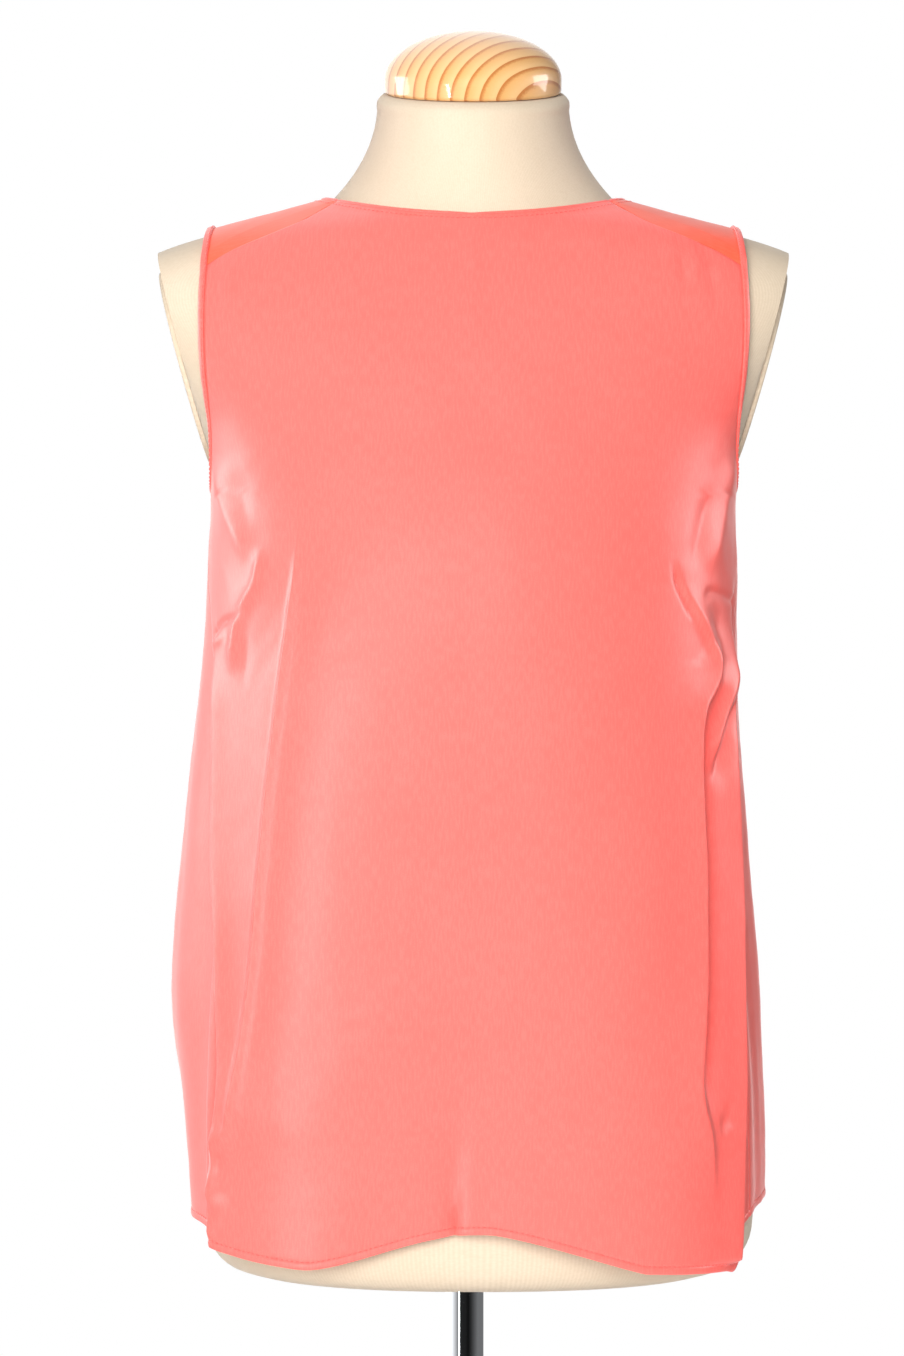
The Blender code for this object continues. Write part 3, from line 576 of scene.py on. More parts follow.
def blouse(angle, level):
    """The blouse's outer surface, with its broad folds."""
    angle, level = np.broadcast_arrays(np.asarray(angle, float), np.asarray(level, float))
    hem = read_table(HEM, (angle + 60) % 360 - 60)[..., 0]
    height = mix(hem, CHEST_TOP, np.minimum(level, 1))
    x, y = oval(read_table(CHEST_SECTIONS, height), angle)
    swell = np.zeros_like(x)
    for top_angle, hem_angle, spread, depth, hem_depth, top, full in FOLDS:
        share = ease((top - height) / (top - full))
        low_share = ease((full - height) / (full - HEM_HEIGHT))
        middle = mix(top_angle, hem_angle, (share + low_share) / 2)
        away = (angle - middle + 180) % 360 - 180
        swell += mix(depth * share, hem_depth, low_share) * np.exp(-((away / spread) ** 2))
    out = 1 + swell / np.hypot(x, y)
    low = np.stack([x * out, y * out, height], axis=-1)
    rise = np.clip(level - 1, 0, 1)
    high = shoulder(CHEST_SECTIONS, angle, rise, CLOTH_SLOPE, CLOTH_NECK_EASE, CLOTH_LIFT)
    return np.where((level >= 1)[..., None], high, low)


def unit(vectors):
    return vectors / np.maximum(np.linalg.norm(vectors, axis=-1, keepdims=True), 1e-12)


def blouse_normal(angle, level):
    """The outward direction of the blouse's surface."""
    step = np.where(level < 1.99, 0.01, -0.01)
    along = blouse(angle + 0.5, level) - blouse(angle - 0.5, level)
    up = (blouse(angle, level + step) - blouse(angle, level)) / step[..., None]
    return unit(np.cross(along, up))


def in_armhole(angle, level):
    points = blouse(angle, level)
    return np.abs(points[..., 0]) > read_table(ARMHOLE, points[..., 2])[..., 0]


def solve(low, high, test):
    """The places between low, where the test holds, and high, where it doesn't."""
    low, high = np.array(low, float), np.array(high, float)
    for _ in range(34):
        middle = (low + high) / 2
        holds = test(middle)
        low, high = np.where(holds, middle, low), np.where(holds, high, middle)
    return high


MIDDLE = {"right": 180.0, "left": 0.0}
FRONTWARD = {"right": 1, "left": -1}
UNDERARM = {
    side: float(solve(1.0, 0.85, lambda level, turn=turn: in_armhole(turn, level)))
    for side, turn in MIDDLE.items()
}


def side_edge(level, side, towards):
    """Where rows of the front or back end: at the side seam or, higher, at the armhole."""
    middle, far = np.full_like(level, MIDDLE[side]), np.full_like(level, towards)
    at_hole = solve(middle, far, lambda turn: in_armhole(turn, level))
    seams = read_table(SIDE_SEAMS, mix(HEM_HEIGHT, CHEST_TOP, level))
    seam = seams[..., 0 if side == "right" else 1]
    return np.where(level > UNDERARM[side], at_hole, seam)


def armhole_top(angle):
    """The highest level at each angle that is still in the armhole."""
    angle = np.asarray(angle, float)
    levels = np.arange(1.0, 2.0, 0.01)
    held = in_armhole(angle[..., None], levels)
    last = levels[held.shape[-1] - 1 - np.argmax(held[..., ::-1], axis=-1)]
    return solve(last, last + 0.01, lambda level: in_armhole(angle, level))


CORNER = {
    side: float(armhole_top(turn + FRONTWARD[side] * YOKE_ARM_TURN)) for side, turn in MIDDLE.items()
}


def yoke_seam(side, level):
    """The angle of the yoke's front seam at each level."""
    share = (level - CORNER[side]) / (2 - CORNER[side])
    turn = mix(YOKE_ARM_TURN, YOKE_NECK_TURN, share) + YOKE_SEAM_BOW * np.sin(math.pi * share)
    return MIDDLE[side] + FRONTWARD[side] * turn


# where a piece's first columns lie, close to its cut edge, where the cloth rolls in
EDGE_COLUMNS = np.array((0.0, 0.0007, 0.0015, 0.0024, 0.0036))
# how far the mesh's closer columns take to thin out, across the cloth and up it
DENSE_FADE = 0.012
LINE_FADE = 0.03
# a crease ends this many widths from its line, which is followed in short straight steps
CREASE_REACH = 2.6
CREASE_STEPS = 7


def run(points, axis=0):
    """How far along its line each point lies from the line's first point."""
    steps = np.linalg.norm(np.diff(points, axis=axis), axis=-1)
    start = np.zeros_like(np.take(steps, [0], axis=axis))
    return np.concatenate([start, np.cumsum(steps, axis=axis)], axis=axis)


def cut_rows(levels, start, end, dense_band, count, middle, lines=()):
    """Places across each row, close together at its edges, between two distances from the
    middle and along the long folds' lines.  Gives angles, levels and distances across."""
    turns = start[:, None] + (end - start)[:, None] * np.linspace(0, 1, 420)
    points = blouse(turns, levels[:, None])
    angles, across = [], []
    for turn, arc, heights in zip(turns, run(points, axis=1), points[..., 2]):
        at_middle = np.interp(middle, turn, arc)
        inner = np.linspace(EDGE_COLUMNS[-1], arc[-1] - EDGE_COLUMNS[-1], 800)
        away = np.abs(inner - at_middle)
        dense = ease((away - dense_band[0]) / DENSE_FADE) * ease((dense_band[1] - away) / DENSE_FADE)
        dense = dense + 1
        level_z = np.interp(inner, arc, heights)
        for extra, reach, line in lines:
            line = np.array(line[::-1]) / 1000
            at_line = np.interp(level_z, line[:, 1], line[:, 0])
            inside = ease((level_z - line[0, 1] + LINE_FADE) / LINE_FADE)
            inside = inside * ease((line[-1, 1] + LINE_FADE - level_z) / LINE_FADE)
            away = (inner - at_middle - at_line) / (reach / 1000)
            dense = dense + extra * inside * np.exp(-(away**2))
        total = np.concatenate([[0], np.cumsum((dense[1:] + dense[:-1]) / 2)])
        between = np.interp(np.linspace(0, total[-1], count), total, inner)[1:-1]
        at = np.concatenate([EDGE_COLUMNS, between, (arc[-1] - EDGE_COLUMNS)[::-1]])
        angles.append(np.interp(at, arc, turn))
        across.append(at - at_middle)
    angles, across = np.array(angles), np.array(across)
    return angles, np.broadcast_to(levels[:, None], angles.shape), across


def crease_swell(across, height, creases):
    """How far the creases, which are given in millimetres, push the cloth out in metres."""
    swell = np.zeros_like(across)
    for depth, widths, fades, line in creases:
        near_width, far_width, fade_in, fade_out = (size / 1000 for size in (*widths, *fades))
        rows = [(n, at / 1000, up / 1000) for n, (at, up) in enumerate(line)]
        line = read_table(rows, np.linspace(0, len(rows) - 1, CREASE_STEPS * (len(rows) - 1) + 1))
        reach = CREASE_REACH * max(near_width, far_width)
        near = (across > line[:, 0].min() - reach) & (across < line[:, 0].max() + reach)
        near &= (height > line[:, 1].min() - reach) & (height < line[:, 1].max() + reach)
        if not near.any():
            continue
        place = np.stack([across[near], height[near]], axis=-1)
        before = run(line)
        best = np.full(len(place), np.inf)
        side = np.zeros(len(place))
        along = np.zeros(len(place))
        for n, length in enumerate(np.diff(before)):
            heading = (line[n + 1] - line[n]) / length
            offset = place - line[n]
            walked = np.clip(offset @ heading, 0, length)
            gap = np.linalg.norm(offset - walked[:, None] * heading, axis=1)
            closer = gap < best
            best = np.where(closer, gap, best)
            turned_to = heading[0] * offset[:, 1] - heading[1] * offset[:, 0]
            side = np.where(closer, turned_to, side)
            along = np.where(closer, before[n] + walked, along)
        width = np.where(side < 0, near_width, far_width)
        fade = ease(along / fade_in) * ease((before[-1] - along) / fade_out)
        swell[near] += depth / 1000 * fade * np.exp(-((best / width) ** 1.5))
    return swell


def unevenness(across, height):
    """The small unevenness that pressed cloth keeps, under half a millimetre."""
    slow = np.sin(across * 71 + 2.1 * np.sin(height * 23)) * np.sin(height * 47 + 1.7 * np.sin(across * 31))
    quick = np.sin(across * 190 + 3 * np.sin(height * 61)) * np.sin(height * 133 + 2 * np.sin(across * 77))
    return 0.00030 * slow + 0.00012 * quick


def grid_normals(points):
    """The outward directions of a finished grid."""
    return unit(np.cross(np.gradient(points, axis=1), np.gradient(points, axis=0)))


def cloth_piece(name, outer, places, surface, slot, node):
    """A thin closed wall from the grid of its outer face."""
    rows, columns = outer.shape[:2]
    inner = outer - grid_normals(outer) * CLOTH
    count = rows * columns
    faces = grid_faces(rows, columns) + grid_faces(rows, columns, count, flip=True)
    numbers = np.arange(count).reshape(rows, columns)
    rim = [*numbers[0], *numbers[1:, -1], *numbers[-1, -2::-1], *numbers[-2:0:-1, 0]]
    for here, after in zip(rim, rim[1:] + rim[:1]):
        faces.append([int(n) for n in (after, here, here + count, after + count)])
    points = np.concatenate([outer.reshape(-1, 3), inner.reshape(-1, 3)])
    flat = places.reshape(-1, 2)
    made = add_piece(name, points, faces, np.concatenate([flat, flat]), sharp=60)
    return finish_piece(made, surface, slot, node)


def flat_places(grid, across):
    """Each point's place on the flat cloth: across it, and up its middle line."""
    up = run(grid[:, grid.shape[1] // 2])
    return np.stack([across, np.broadcast_to(up[:, None], across.shape)], axis=-1)


def crepe(name, deep, body_colour, pale, sheen):
    """Polyester crepe: smooth to the hand, with a fine upright grain of twisted threads and a
    soft satin gloss that turns pale where the cloth turns away."""
    made, tree, shader = new_material(name)
    place = add_node(tree, "UVMap", {"uv_map": "UVMap"})
    upright = add_node(tree, "Mapping", {"Scale": (1.0, 0.16, 1.0)}, {"Vector": place})
    # threads 0.3 mm apart, drawn 1.1 mm apart and six times as long as wide, to show
    grain = add_node(tree, "TexNoise", {"Scale": 900.0, "Detail": 4.0}, {"Vector": upright})
    pebble = add_node(tree, "TexNoise", {"Scale": 1500.0, "Detail": 2.0}, {"Vector": place})
    cloud = add_node(tree, "TexNoise", {"Scale": 9.0, "Detail": 3.0}, {"Vector": place})
    both = add_node(tree, "Math", {"operation": "MULTIPLY_ADD", 1: 0.6}, {0: pebble, 2: grain})
    shade = add_node(tree, "Math", {"operation": "MULTIPLY_ADD", 1: 0.25}, {0: cloud, 2: both})
    tones = ((0.52, deep), (0.93, body_colour), (1.0, pale))
    colour = add_node(tree, "ValToRGB", {"tones": tones}, {"Fac": shade})
    relief = add_node(tree, "Bump", {"Strength": 0.07, "Distance": 0.00025}, {"Height": both})
    finish = {
        "Roughness": 0.40,
        "Specular IOR Level": 0.6,
        "Sheen Weight": sheen,
        "Sheen Roughness": 0.24,
        "Sheen Tint": linear("#FFE4E0"),
    }
    set_up(tree, shader, finish, {"Base Color": colour, "Normal": relief})
    return made


coral = crepe("coral_crepe_cloth", "#FC625A", "#FD675F", "#FE6D65", 0.22)


# ---------------------------------------------------------------- the front
# The front is one piece with a bust dart from each side seam.  It is joined to the back at
# the sides and to the yoke above, and its hem is turned up once and sewn.

HEM_TURN = 0.0042
HEM_MEAN = 0.325
NECK_SEWING = 0.0042
# how far the cloth falls over one level just under the neck edge
NECK_FALL = 0.075
PANEL_COLUMNS = 214
# grooves in the cloth, each with its depth and its width
SEAM_ROLL = (0.0007, 0.0013)
HEM_FOLD = (0.00035, 0.0005)
HEM_SEWING = (0.00055, 0.0007)
NECK_SEAM = (0.0004, 0.0008)
HEM_PROUD = 0.00045
TUCK_FRONT_WIDTH = 0.0036
TUCK_BACK_WIDTH = 0.0170

# The front's two edges and its long folds from the top, in millimetres: the distance from the
# centre front, towards the wearer's left, and the height
RIGHT_EDGE = (
    (-182, 690), (-176, 640), (-173, 590), (-169, 539), (-162, 506), (-157, 465), (-154, 438), (-153, 414),
    (-156, 395), (-159, 370), (-161, 345), (-161, 316),
)
LEFT_EDGE = (
    (186, 690), (180, 638), (178, 602), (183, 537), (181, 489), (179, 443), (178, 413), (173, 372),
    (170, 342), (168, 314),
)
LONG_FOLD_RIGHT = (
    (-103, 740), (-109, 673), (-118, 604), (-125, 541), (-130, 486), (-138, 434), (-147, 393), (-153, 380),
)
LONG_FOLD_LEFT = (
    (152, 672), (156, 662), (155, 652), (149, 643), (142, 635), (138.5, 624), (137, 605), (137, 575),
    (138, 542), (137, 490), (134, 440), (133, 424), (135, 408), (141, 390), (144, 365), (145, 335),
)

# The mesh's columns gather along these: how many more there are, and within what distance
FRONT_LINES = (
    (3.5, 5, RIGHT_EDGE),
    (5.0, 5, LONG_FOLD_RIGHT[:-1]),
    (4.0, 6, ((140, 640), (141, 542), (137, 430), (148, 370))),
    (3.5, 5, LEFT_EDGE),
)

# Each crease in millimetres: its depth, its widths towards the wearer's right and left, the
# lengths it fades over at its top and bottom, and the line that it follows from its top
FRONT_CREASES = (
    # the long fold that falls from the right bust: a broad slope with a thin crest
    (3.8, (14, 48), (100, 30), LONG_FOLD_RIGHT),
    (2.4, (2.4, 3.8), (60, 12), LONG_FOLD_RIGHT),
    (3.4, (5, 7), (12, 14), (
        (-146, 396), (-155, 388), (-164, 380), (-168, 370), (-163, 360), (-156, 350), (-154, 338))),
    (-2.4, (5, 5), (12, 14), ((-152, 382), (-155, 371), (-150, 357))),
    (1.6, (3, 5), (10, 10), ((-172, 352), (-164, 337), (-154, 326))),
    # the front's right edge, rolled over the hollow at the side seam
    (5.2, (4, 12), (60, 4), RIGHT_EDGE),
    (-6.2, (7, 3), (60, 4), (
        (-186, 690), (-184, 590), (-180, 539), (-173, 500), (-168, 465), (-165, 438), (-164, 414),
        (-167, 395), (-170, 370), (-172, 345), (-172, 316))),
    # the pulls at the right bust dart
    (3, (5, 6), (15, 20), ((-130, 728), (-135, 706), (-143, 696), (-152, 684), (-155, 671), (-158, 650))),
    (-1, (5, 4), (12, 20), ((-145, 682), (-143, 664), (-147, 640))),
    (3, (10, 10), (20, 25), ((-180, 780), (-168, 752), (-152, 733), (-146, 712))),
    (-1.4, (8, 8), (20, 20), ((-156, 775), (-146, 752), (-137, 735))),
    (-2, (2, 2), (10, 12), ((-192, 674), (-186, 677), (-172, 683), (-159, 685), (-150, 688), (-144, 694))),
    (2.2, (4, 4), (10, 12), ((-196, 664), (-180, 671), (-163, 677))),
    # the left bust: a broad roll from the armhole, with a soft hollow in front of it
    (3, (12, 14), (20, 25), ((180, 786), (173, 765), (165, 740), (156, 722), (148, 708))),
    (-1.8, (8, 7), (20, 20), ((152, 764), (145, 742), (138, 722), (134, 710))),
    # the dart's line, pulled in
    (-1.6, (2.4, 2.4), (12, 12), ((200, 695), (180, 698), (164, 700), (152, 700), (143, 695))),
    (-2, (10, 12), (20, 20), ((148, 696), (156, 686), (164, 676), (170, 664))),
    # the tight crease that starts at the bust, and the fold that stands beside it
    (-2.6, (2, 2), (14, 14), ((119, 719), (123.5, 706), (128.5, 697), (134, 689), (140, 681))),
    (4, (3.6, 9), (32, 14), (
        (126, 708), (131, 699), (138, 690), (145, 681), (151, 672), (155, 664), (156, 656))),
    # the long fold from there to the hem, with a deep hollow on its outer side
    (4.8, (11, 4.2), (16, 120), LONG_FOLD_LEFT),
    (0.7, (2.4, 2.4), (16, 100), LONG_FOLD_LEFT),
    (-5, (3.4, 9), (20, 60), (
        (164, 652), (158, 642), (150, 631), (145, 620), (143.5, 603), (144, 575), (145, 542), (144, 490),
        (141, 440), (140, 424), (142, 408), (147, 392))),
    # the fold that meets it from the side
    (3, (6, 3.6), (34, 24), ((188, 664), (180, 652), (171, 640), (163, 627), (156, 613), (151, 594))),
    (-3.2, (3.4, 10), (34, 24), ((188, 652), (181, 641), (172, 628), (164, 615), (157, 600), (152, 584))),
    (-2, (2.5, 2.5), (6, 6), ((150, 394), (158, 398), (166, 402))),
    # the front's left edge, rolled over the seam
    (5.6, (14, 4.5), (40, 4), LEFT_EDGE),
    # the crease at the centre of the hem, soft above and tight at the edge
    (-2.2, (10, 6), (60, 4), ((-6, 430), (-8, 398), (-11, 372), (-12, 350), (-13, 320))),
    (-2.8, (3, 2.2), (30, 4), ((-11, 372), (-12, 350), (-12.5, 320))),
    (-1, (2.5, 2.5), (6, 6), ((-32, 394), (-22, 397), (-14, 399), (-8, 405))),
    # short creases under the yoke's seams
    (0.6, (4, 4), (8, 14), ((117, 912), (116, 896), (117, 880))),
    (-0.7, (3, 3), (6, 14), ((121, 908), (122, 890), (122, 872))),
    (0.9, (4, 4), (6, 20), ((127, 906), (129, 890), (130, 868))),
    (-0.8, (3, 4), (6, 16), ((133, 905), (137, 891), (140, 872), (141, 855))),
    (0.7, (6, 5), (10, 30), ((-146, 896), (-143, 874), (-144, 845))),
    (-0.5, (4, 4), (10, 20), ((-152, 892), (-150, 872), (-151, 850))),
)

# The deep fold beside each side seam in millimetres: the height, its depth there, and how far
# in front of the seam it is deepest
SEAM_TUCKS = {
    "right": (
        (300, 3, 0), (360, 3, 0), (440, 3.5, 0), (560, 4.5, 0), (640, 4.5, 0), (680, 3, 0),
        (705, 0, 0), (760, 0, 0),
    ),
    "left": (
        (300, 6, 24.5), (342, 6, 23.5), (372, 6, 20.5), (413, 6.5, 14.5), (443, 7, 13.3),
        (489, 7.5, 10.5), (537, 8, 7.5), (602, 7, 13.5), (638, 6, 14), (680, 4, 15.5),
        (710, 0, 15.5), (760, 0, 15.5),
    ),
}

# The heights above the hem of the rows round its turning
HEM_ROWS = (
    0, 0.0004, 0.001, 0.0018, 0.0027, 0.0034, 0.0039, HEM_TURN, 0.0045, 0.005, 0.0058, 0.0072,
    0.009, 0.0115,
)
fall = CHEST_TOP - HEM_MEAN
underarm = (UNDERARM["right"] + UNDERARM["left"]) / 2
corner = (CORNER["right"] + CORNER["left"]) / 2


def more_rows(levels, *spans):
    """Adds rows above the last.  Each span has its upper end and how many rows it adds."""
    for top, count in spans:
        levels = np.concatenate([levels, np.linspace(levels[-1], top, count + 1)[1:]])
    return levels


# close rows at the hem and at the darts, whose lower and upper ends these are
dart_low, dart_high = (0.668 - HEM_MEAN) / fall, (0.712 - HEM_MEAN) / fall
low_rows = more_rows(
    np.array(HEM_ROWS) / fall,
    (0.085 / fall, 19), (0.270 / fall, 35), (dart_low, 36), (dart_high, 26), (underarm, 19),
)
front_levels = more_rows(low_rows, (1.0, 16), (corner, 29), (2.0, 22))


def front_edge(side, towards):
    """Where the front's rows end: at the side seam, the armhole or the yoke's seam."""
    edge = side_edge(front_levels, side, towards)
    return np.where(front_levels >= corner, yoke_seam(side, front_levels), edge)


def groove(distance, depth, width):
    """A rounded groove in the cloth, at a distance from its middle line."""
    return -depth * np.exp(-((distance / width) ** 2))


def edge_roll(across):
    """The dip at a piece's two sides, where the cloth turns in to its seam allowance."""
    from_start, from_end = across - across[:, :1], across[:, -1:] - across
    return groove(from_start, *SEAM_ROLL) + groove(from_end, *SEAM_ROLL)


def seam_tuck(before_seam, height, side):
    """The deep fold beside a side seam, steep on its front side and slack behind."""
    sizes = read_table(np.array(SEAM_TUCKS[side]) / 1000, height)
    away = before_seam - sizes[..., 1]
    width = np.where(away > 0, TUCK_FRONT_WIDTH, TUCK_BACK_WIDTH)
    return -sizes[..., 0] * np.exp(-((np.abs(away) / width) ** 1.5))


def hem_swell(levels):
    """The turned hem stands a little proud, and its sewing pulls a groove."""
    above = levels * fall
    proud = HEM_PROUD * ease((HEM_TURN + 0.0012 - above) / 0.0016)
    return proud + groove(above, *HEM_FOLD) + groove(above - HEM_TURN, *HEM_SEWING)


front_start, front_end = front_edge("right", 270.0), 360 + front_edge("left", -90.0)
turns, levels, across = cut_rows(
    front_levels, front_start, front_end, (0.095, 0.215), PANEL_COLUMNS, 270.0, FRONT_LINES
)
surface = blouse(turns, levels)
outward = blouse_normal(turns, levels)
height = surface[..., 2]
swell = crease_swell(across, height, FRONT_CREASES)
swell += unevenness(across, height) * ease((2 - levels) / 0.15)
swell += edge_roll(across) + hem_swell(levels)
swell += seam_tuck(across - across[:, :1], height, "right")
swell += seam_tuck(across[:, -1:] - across, height, "left")
swell += groove((2 - levels) * NECK_FALL - NECK_SEWING, *NECK_SEAM)
front_grid = surface + outward * swell[..., None]
front_places = flat_places(front_grid, across)
front = cloth_piece("blouse_front", front_grid, front_places, coral, "coral_crepe", "front_panel")


# ---------------------------------------------------------------- the back
# The back is one plain piece below the yoke, without darts, a little longer in its fall than
# the sides.  Its folds are like the front's, and it is hemmed with it.

# how far the cloth falls over one level just under the yoke
YOKE_FALL = 0.19
# As for the front, but distances grow towards the wearer's right, from the centre back
BACK_CREASES = (
    (4.4, (16, 9), (50, 30), ((-82, 700), (-90, 630), (-101, 560), (-108, 480), (-111, 410), (-118, 340))),
    (-3.8, (8, 11), (50, 30), ((-100, 680), (-108, 620), (-118, 550), (-124, 480), (-128, 420))),
    (4, (10, 16), (40, 20), ((90, 720), (98, 650), (103, 580), (101, 500), (106, 430), (104, 335))),
    (-4, (10, 7), (40, 50), ((106, 690), (115, 640), (118, 570), (115, 500), (119, 450))),
    (3, (10, 10), (30, 40), ((-30, 560), (-36, 480), (-34, 410), (-40, 350))),
    (-2.6, (10, 10), (30, 30), ((12, 500), (8, 430), (12, 360), (10, 325))),
    (2.4, (9, 10), (30, 30), ((44, 470), (48, 410), (45, 350))),
    # pulls from under the arms
    (3.2, (6, 6), (15, 20), ((-172, 752), (-158, 728), (-140, 706), (-126, 676))),
    (-2.4, (6, 5), (15, 20), ((-176, 735), (-160, 712), (-145, 692))),
    (2.8, (6, 7), (15, 20), ((168, 745), (152, 722), (138, 690), (134, 660))),
    (-2.2, (5, 6), (15, 20), ((172, 728), (158, 706), (150, 680))),
    # slack that settles over the small of the back
    (2.6, (8, 8), (30, 30), ((-78, 628), (-40, 616), (2, 613), (40, 620))),
    (-2, (8, 8), (30, 30), ((-60, 608), (-20, 598), (20, 598), (60, 607))),
    (1.8, (7, 7), (30, 30), ((-18, 580), (24, 578), (70, 588))),
    # short creases under the yoke
    (1.4, (6, 6), (10, 30), ((-112, 846), (-108, 818), (-106, 780))),
    (1.2, (5, 6), (10, 30), ((100, 850), (98, 822), (99, 792))),
    (1, (5, 5), (10, 20), ((30, 856), (31, 836), (29, 812))),
)

back_levels = more_rows(low_rows, (1.0, 16), (BACK_YOKE_LEVEL, 29))
back_start, back_end = side_edge(back_levels, "left", 90.0), side_edge(back_levels, "right", 90.0)
turns, levels, across = cut_rows(back_levels, back_start, back_end, (0.075, 0.190), PANEL_COLUMNS, 90.0)
surface = blouse(turns, levels)
outward = blouse_normal(turns, levels)
height = surface[..., 2]
swell = crease_swell(across, height, BACK_CREASES) + unevenness(across + 0.31, height)
swell += edge_roll(across) + hem_swell(levels)
swell += seam_tuck(across[:, :1] - across, height, "left")
swell += seam_tuck(across - across[:, -1:], height, "right")
swell += groove((BACK_YOKE_LEVEL - levels) * YOKE_FALL, *SEAM_ROLL)
back_grid = surface + outward * swell[..., None]
back_places = flat_places(back_grid, across + 0.6)
back = cloth_piece("blouse_back", back_grid, back_places, coral, "coral_crepe", "back_panel")


# ---------------------------------------------------------------- the yoke
# The yoke is cut in one piece across the back and over both shoulders, in the same crepe
# turned crossways.  Its colour is painted a little more orange: a painted sheen that stands for
# how the crossways grain reflects the light.  It is sewn to front and back.

YOKE_ROWS = 46
TURNED_COLUMNS = 60
FALLING_COLUMNS = 24
SIDE_COLUMNS = TURNED_COLUMNS + FALLING_COLUMNS
BACK_COLUMNS = 96
# the degrees over which its seams change from one kind to the other at its back corners
CORNER_FADE = 4

# painted sheen: the same crepe, its tones painted more orange for the gloss of the crossways grain
yoke_crepe = crepe("yoke_crepe_with_painted_sheen", "#F85A3E", "#FA5E42", "#FC6348", 0.03)


def yoke_arm_edge(side):
    """The yoke's places along an armhole, from its front corner to its back corner."""
    start = yoke_seam(side, CORNER[side])
    end = MIDDLE[side] - FRONTWARD[side] * YOKE_BACK_TURN
    turns = np.linspace(start, end, TURNED_COLUMNS + 1)
    levels = armhole_top(turns)
    levels[0] = CORNER[side]
    fall = np.linspace(levels[-1], BACK_YOKE_LEVEL, FALLING_COLUMNS + 1)[1:]
    return np.concatenate([turns, side_edge(fall, side, 90.0)]), np.concatenate([levels, fall])


left_turns, left_levels = yoke_arm_edge("left")
right_turns, right_levels = yoke_arm_edge("right")
between = np.linspace(left_turns[-1], right_turns[-1], BACK_COLUMNS + 1)[1:-1]
outer_turns = np.concatenate([left_turns, between, right_turns[::-1]])
outer_levels = np.concatenate([left_levels, np.full_like(between, BACK_YOKE_LEVEL), right_levels[::-1]])
far = 180 - YOKE_CORNER_TURN
neck_left, neck_right = float(yoke_seam("left", 2.0)), float(yoke_seam("right", 2.0))
inner_turns = np.concatenate([
    np.linspace(neck_left, YOKE_CORNER_TURN, SIDE_COLUMNS + 1),
    np.linspace(YOKE_CORNER_TURN, far, BACK_COLUMNS + 1)[1:-1],
    np.linspace(far, neck_right, SIDE_COLUMNS + 1),
])
shares = np.concatenate([[0, 0.008, 0.018, 0.032], np.linspace(0.05, 1, YOKE_ROWS - 4)])[:, None]
turns = mix(outer_turns, inner_turns, shares)
levels = mix(outer_levels, 2.0, shares)
turns[:, 0] = yoke_seam("left", levels[:, 0])
turns[:, -1] = yoke_seam("right", levels[:, -1])
surface = blouse(turns, levels)
outward = blouse_normal(turns, levels)
swell = unevenness(surface[..., 0], surface[..., 1]) * 0.8 + edge_roll(run(surface, axis=1))
from_seam = shares * np.linalg.norm(surface[-1] - surface[0], axis=-1)
at_back = ease((outer_turns - left_turns[-1]) / CORNER_FADE + 0.5)
at_back = at_back * ease((right_turns[-1] - outer_turns) / CORNER_FADE + 0.5)
swell += groove(from_seam, *SEAM_ROLL) * at_back
yoke_grid = surface + outward * swell[..., None]
yoke_places = yoke_grid[..., [1, 0]] + (1.5, 0.0)
yoke = cloth_piece("blouse_yoke", yoke_grid, yoke_places, yoke_crepe, "yoke_crepe", "yoke")


# ---------------------------------------------------------------- the bindings
# The neck and the armholes are edged with bias strips of the coral crepe, folded over the
# cut edge and sewn down, so that they stand a little proud as narrow rounded bands.

BINDING = 0.0020
NECK_BAND = 0.0022
ARM_BAND = 0.0035
ARM_BAND_LIFT = 0.0009
# how far a band laps over the cut edge, and how square its section is
BAND_LAP = 0.0003
BAND_SQUARE = 0.6
BAND_SIDES = 12
NECK_STEPS = 620
ARM_STEPS = 520
# the sewing lies this far out from the cut edge, and sinks this deep in the band
SEWING_OUT = 0.0005
SEWING_SINK = 0.0001


def even_loop(points, count):
    """The same closed loop in even steps, with its corners ironed out a little."""
    closed = np.concatenate([points, points[:1]])
    arc = run(closed)
    keep = np.concatenate([[True], np.diff(arc) > 1e-9])
    at = np.arange(count) / count * arc[-1]
    even = np.stack([np.interp(at, arc[keep], closed[keep, k]) for k in range(3)], axis=-1)
    return (np.roll(even, 1, axis=0) + 2 * even + np.roll(even, -1, axis=0)) / 4


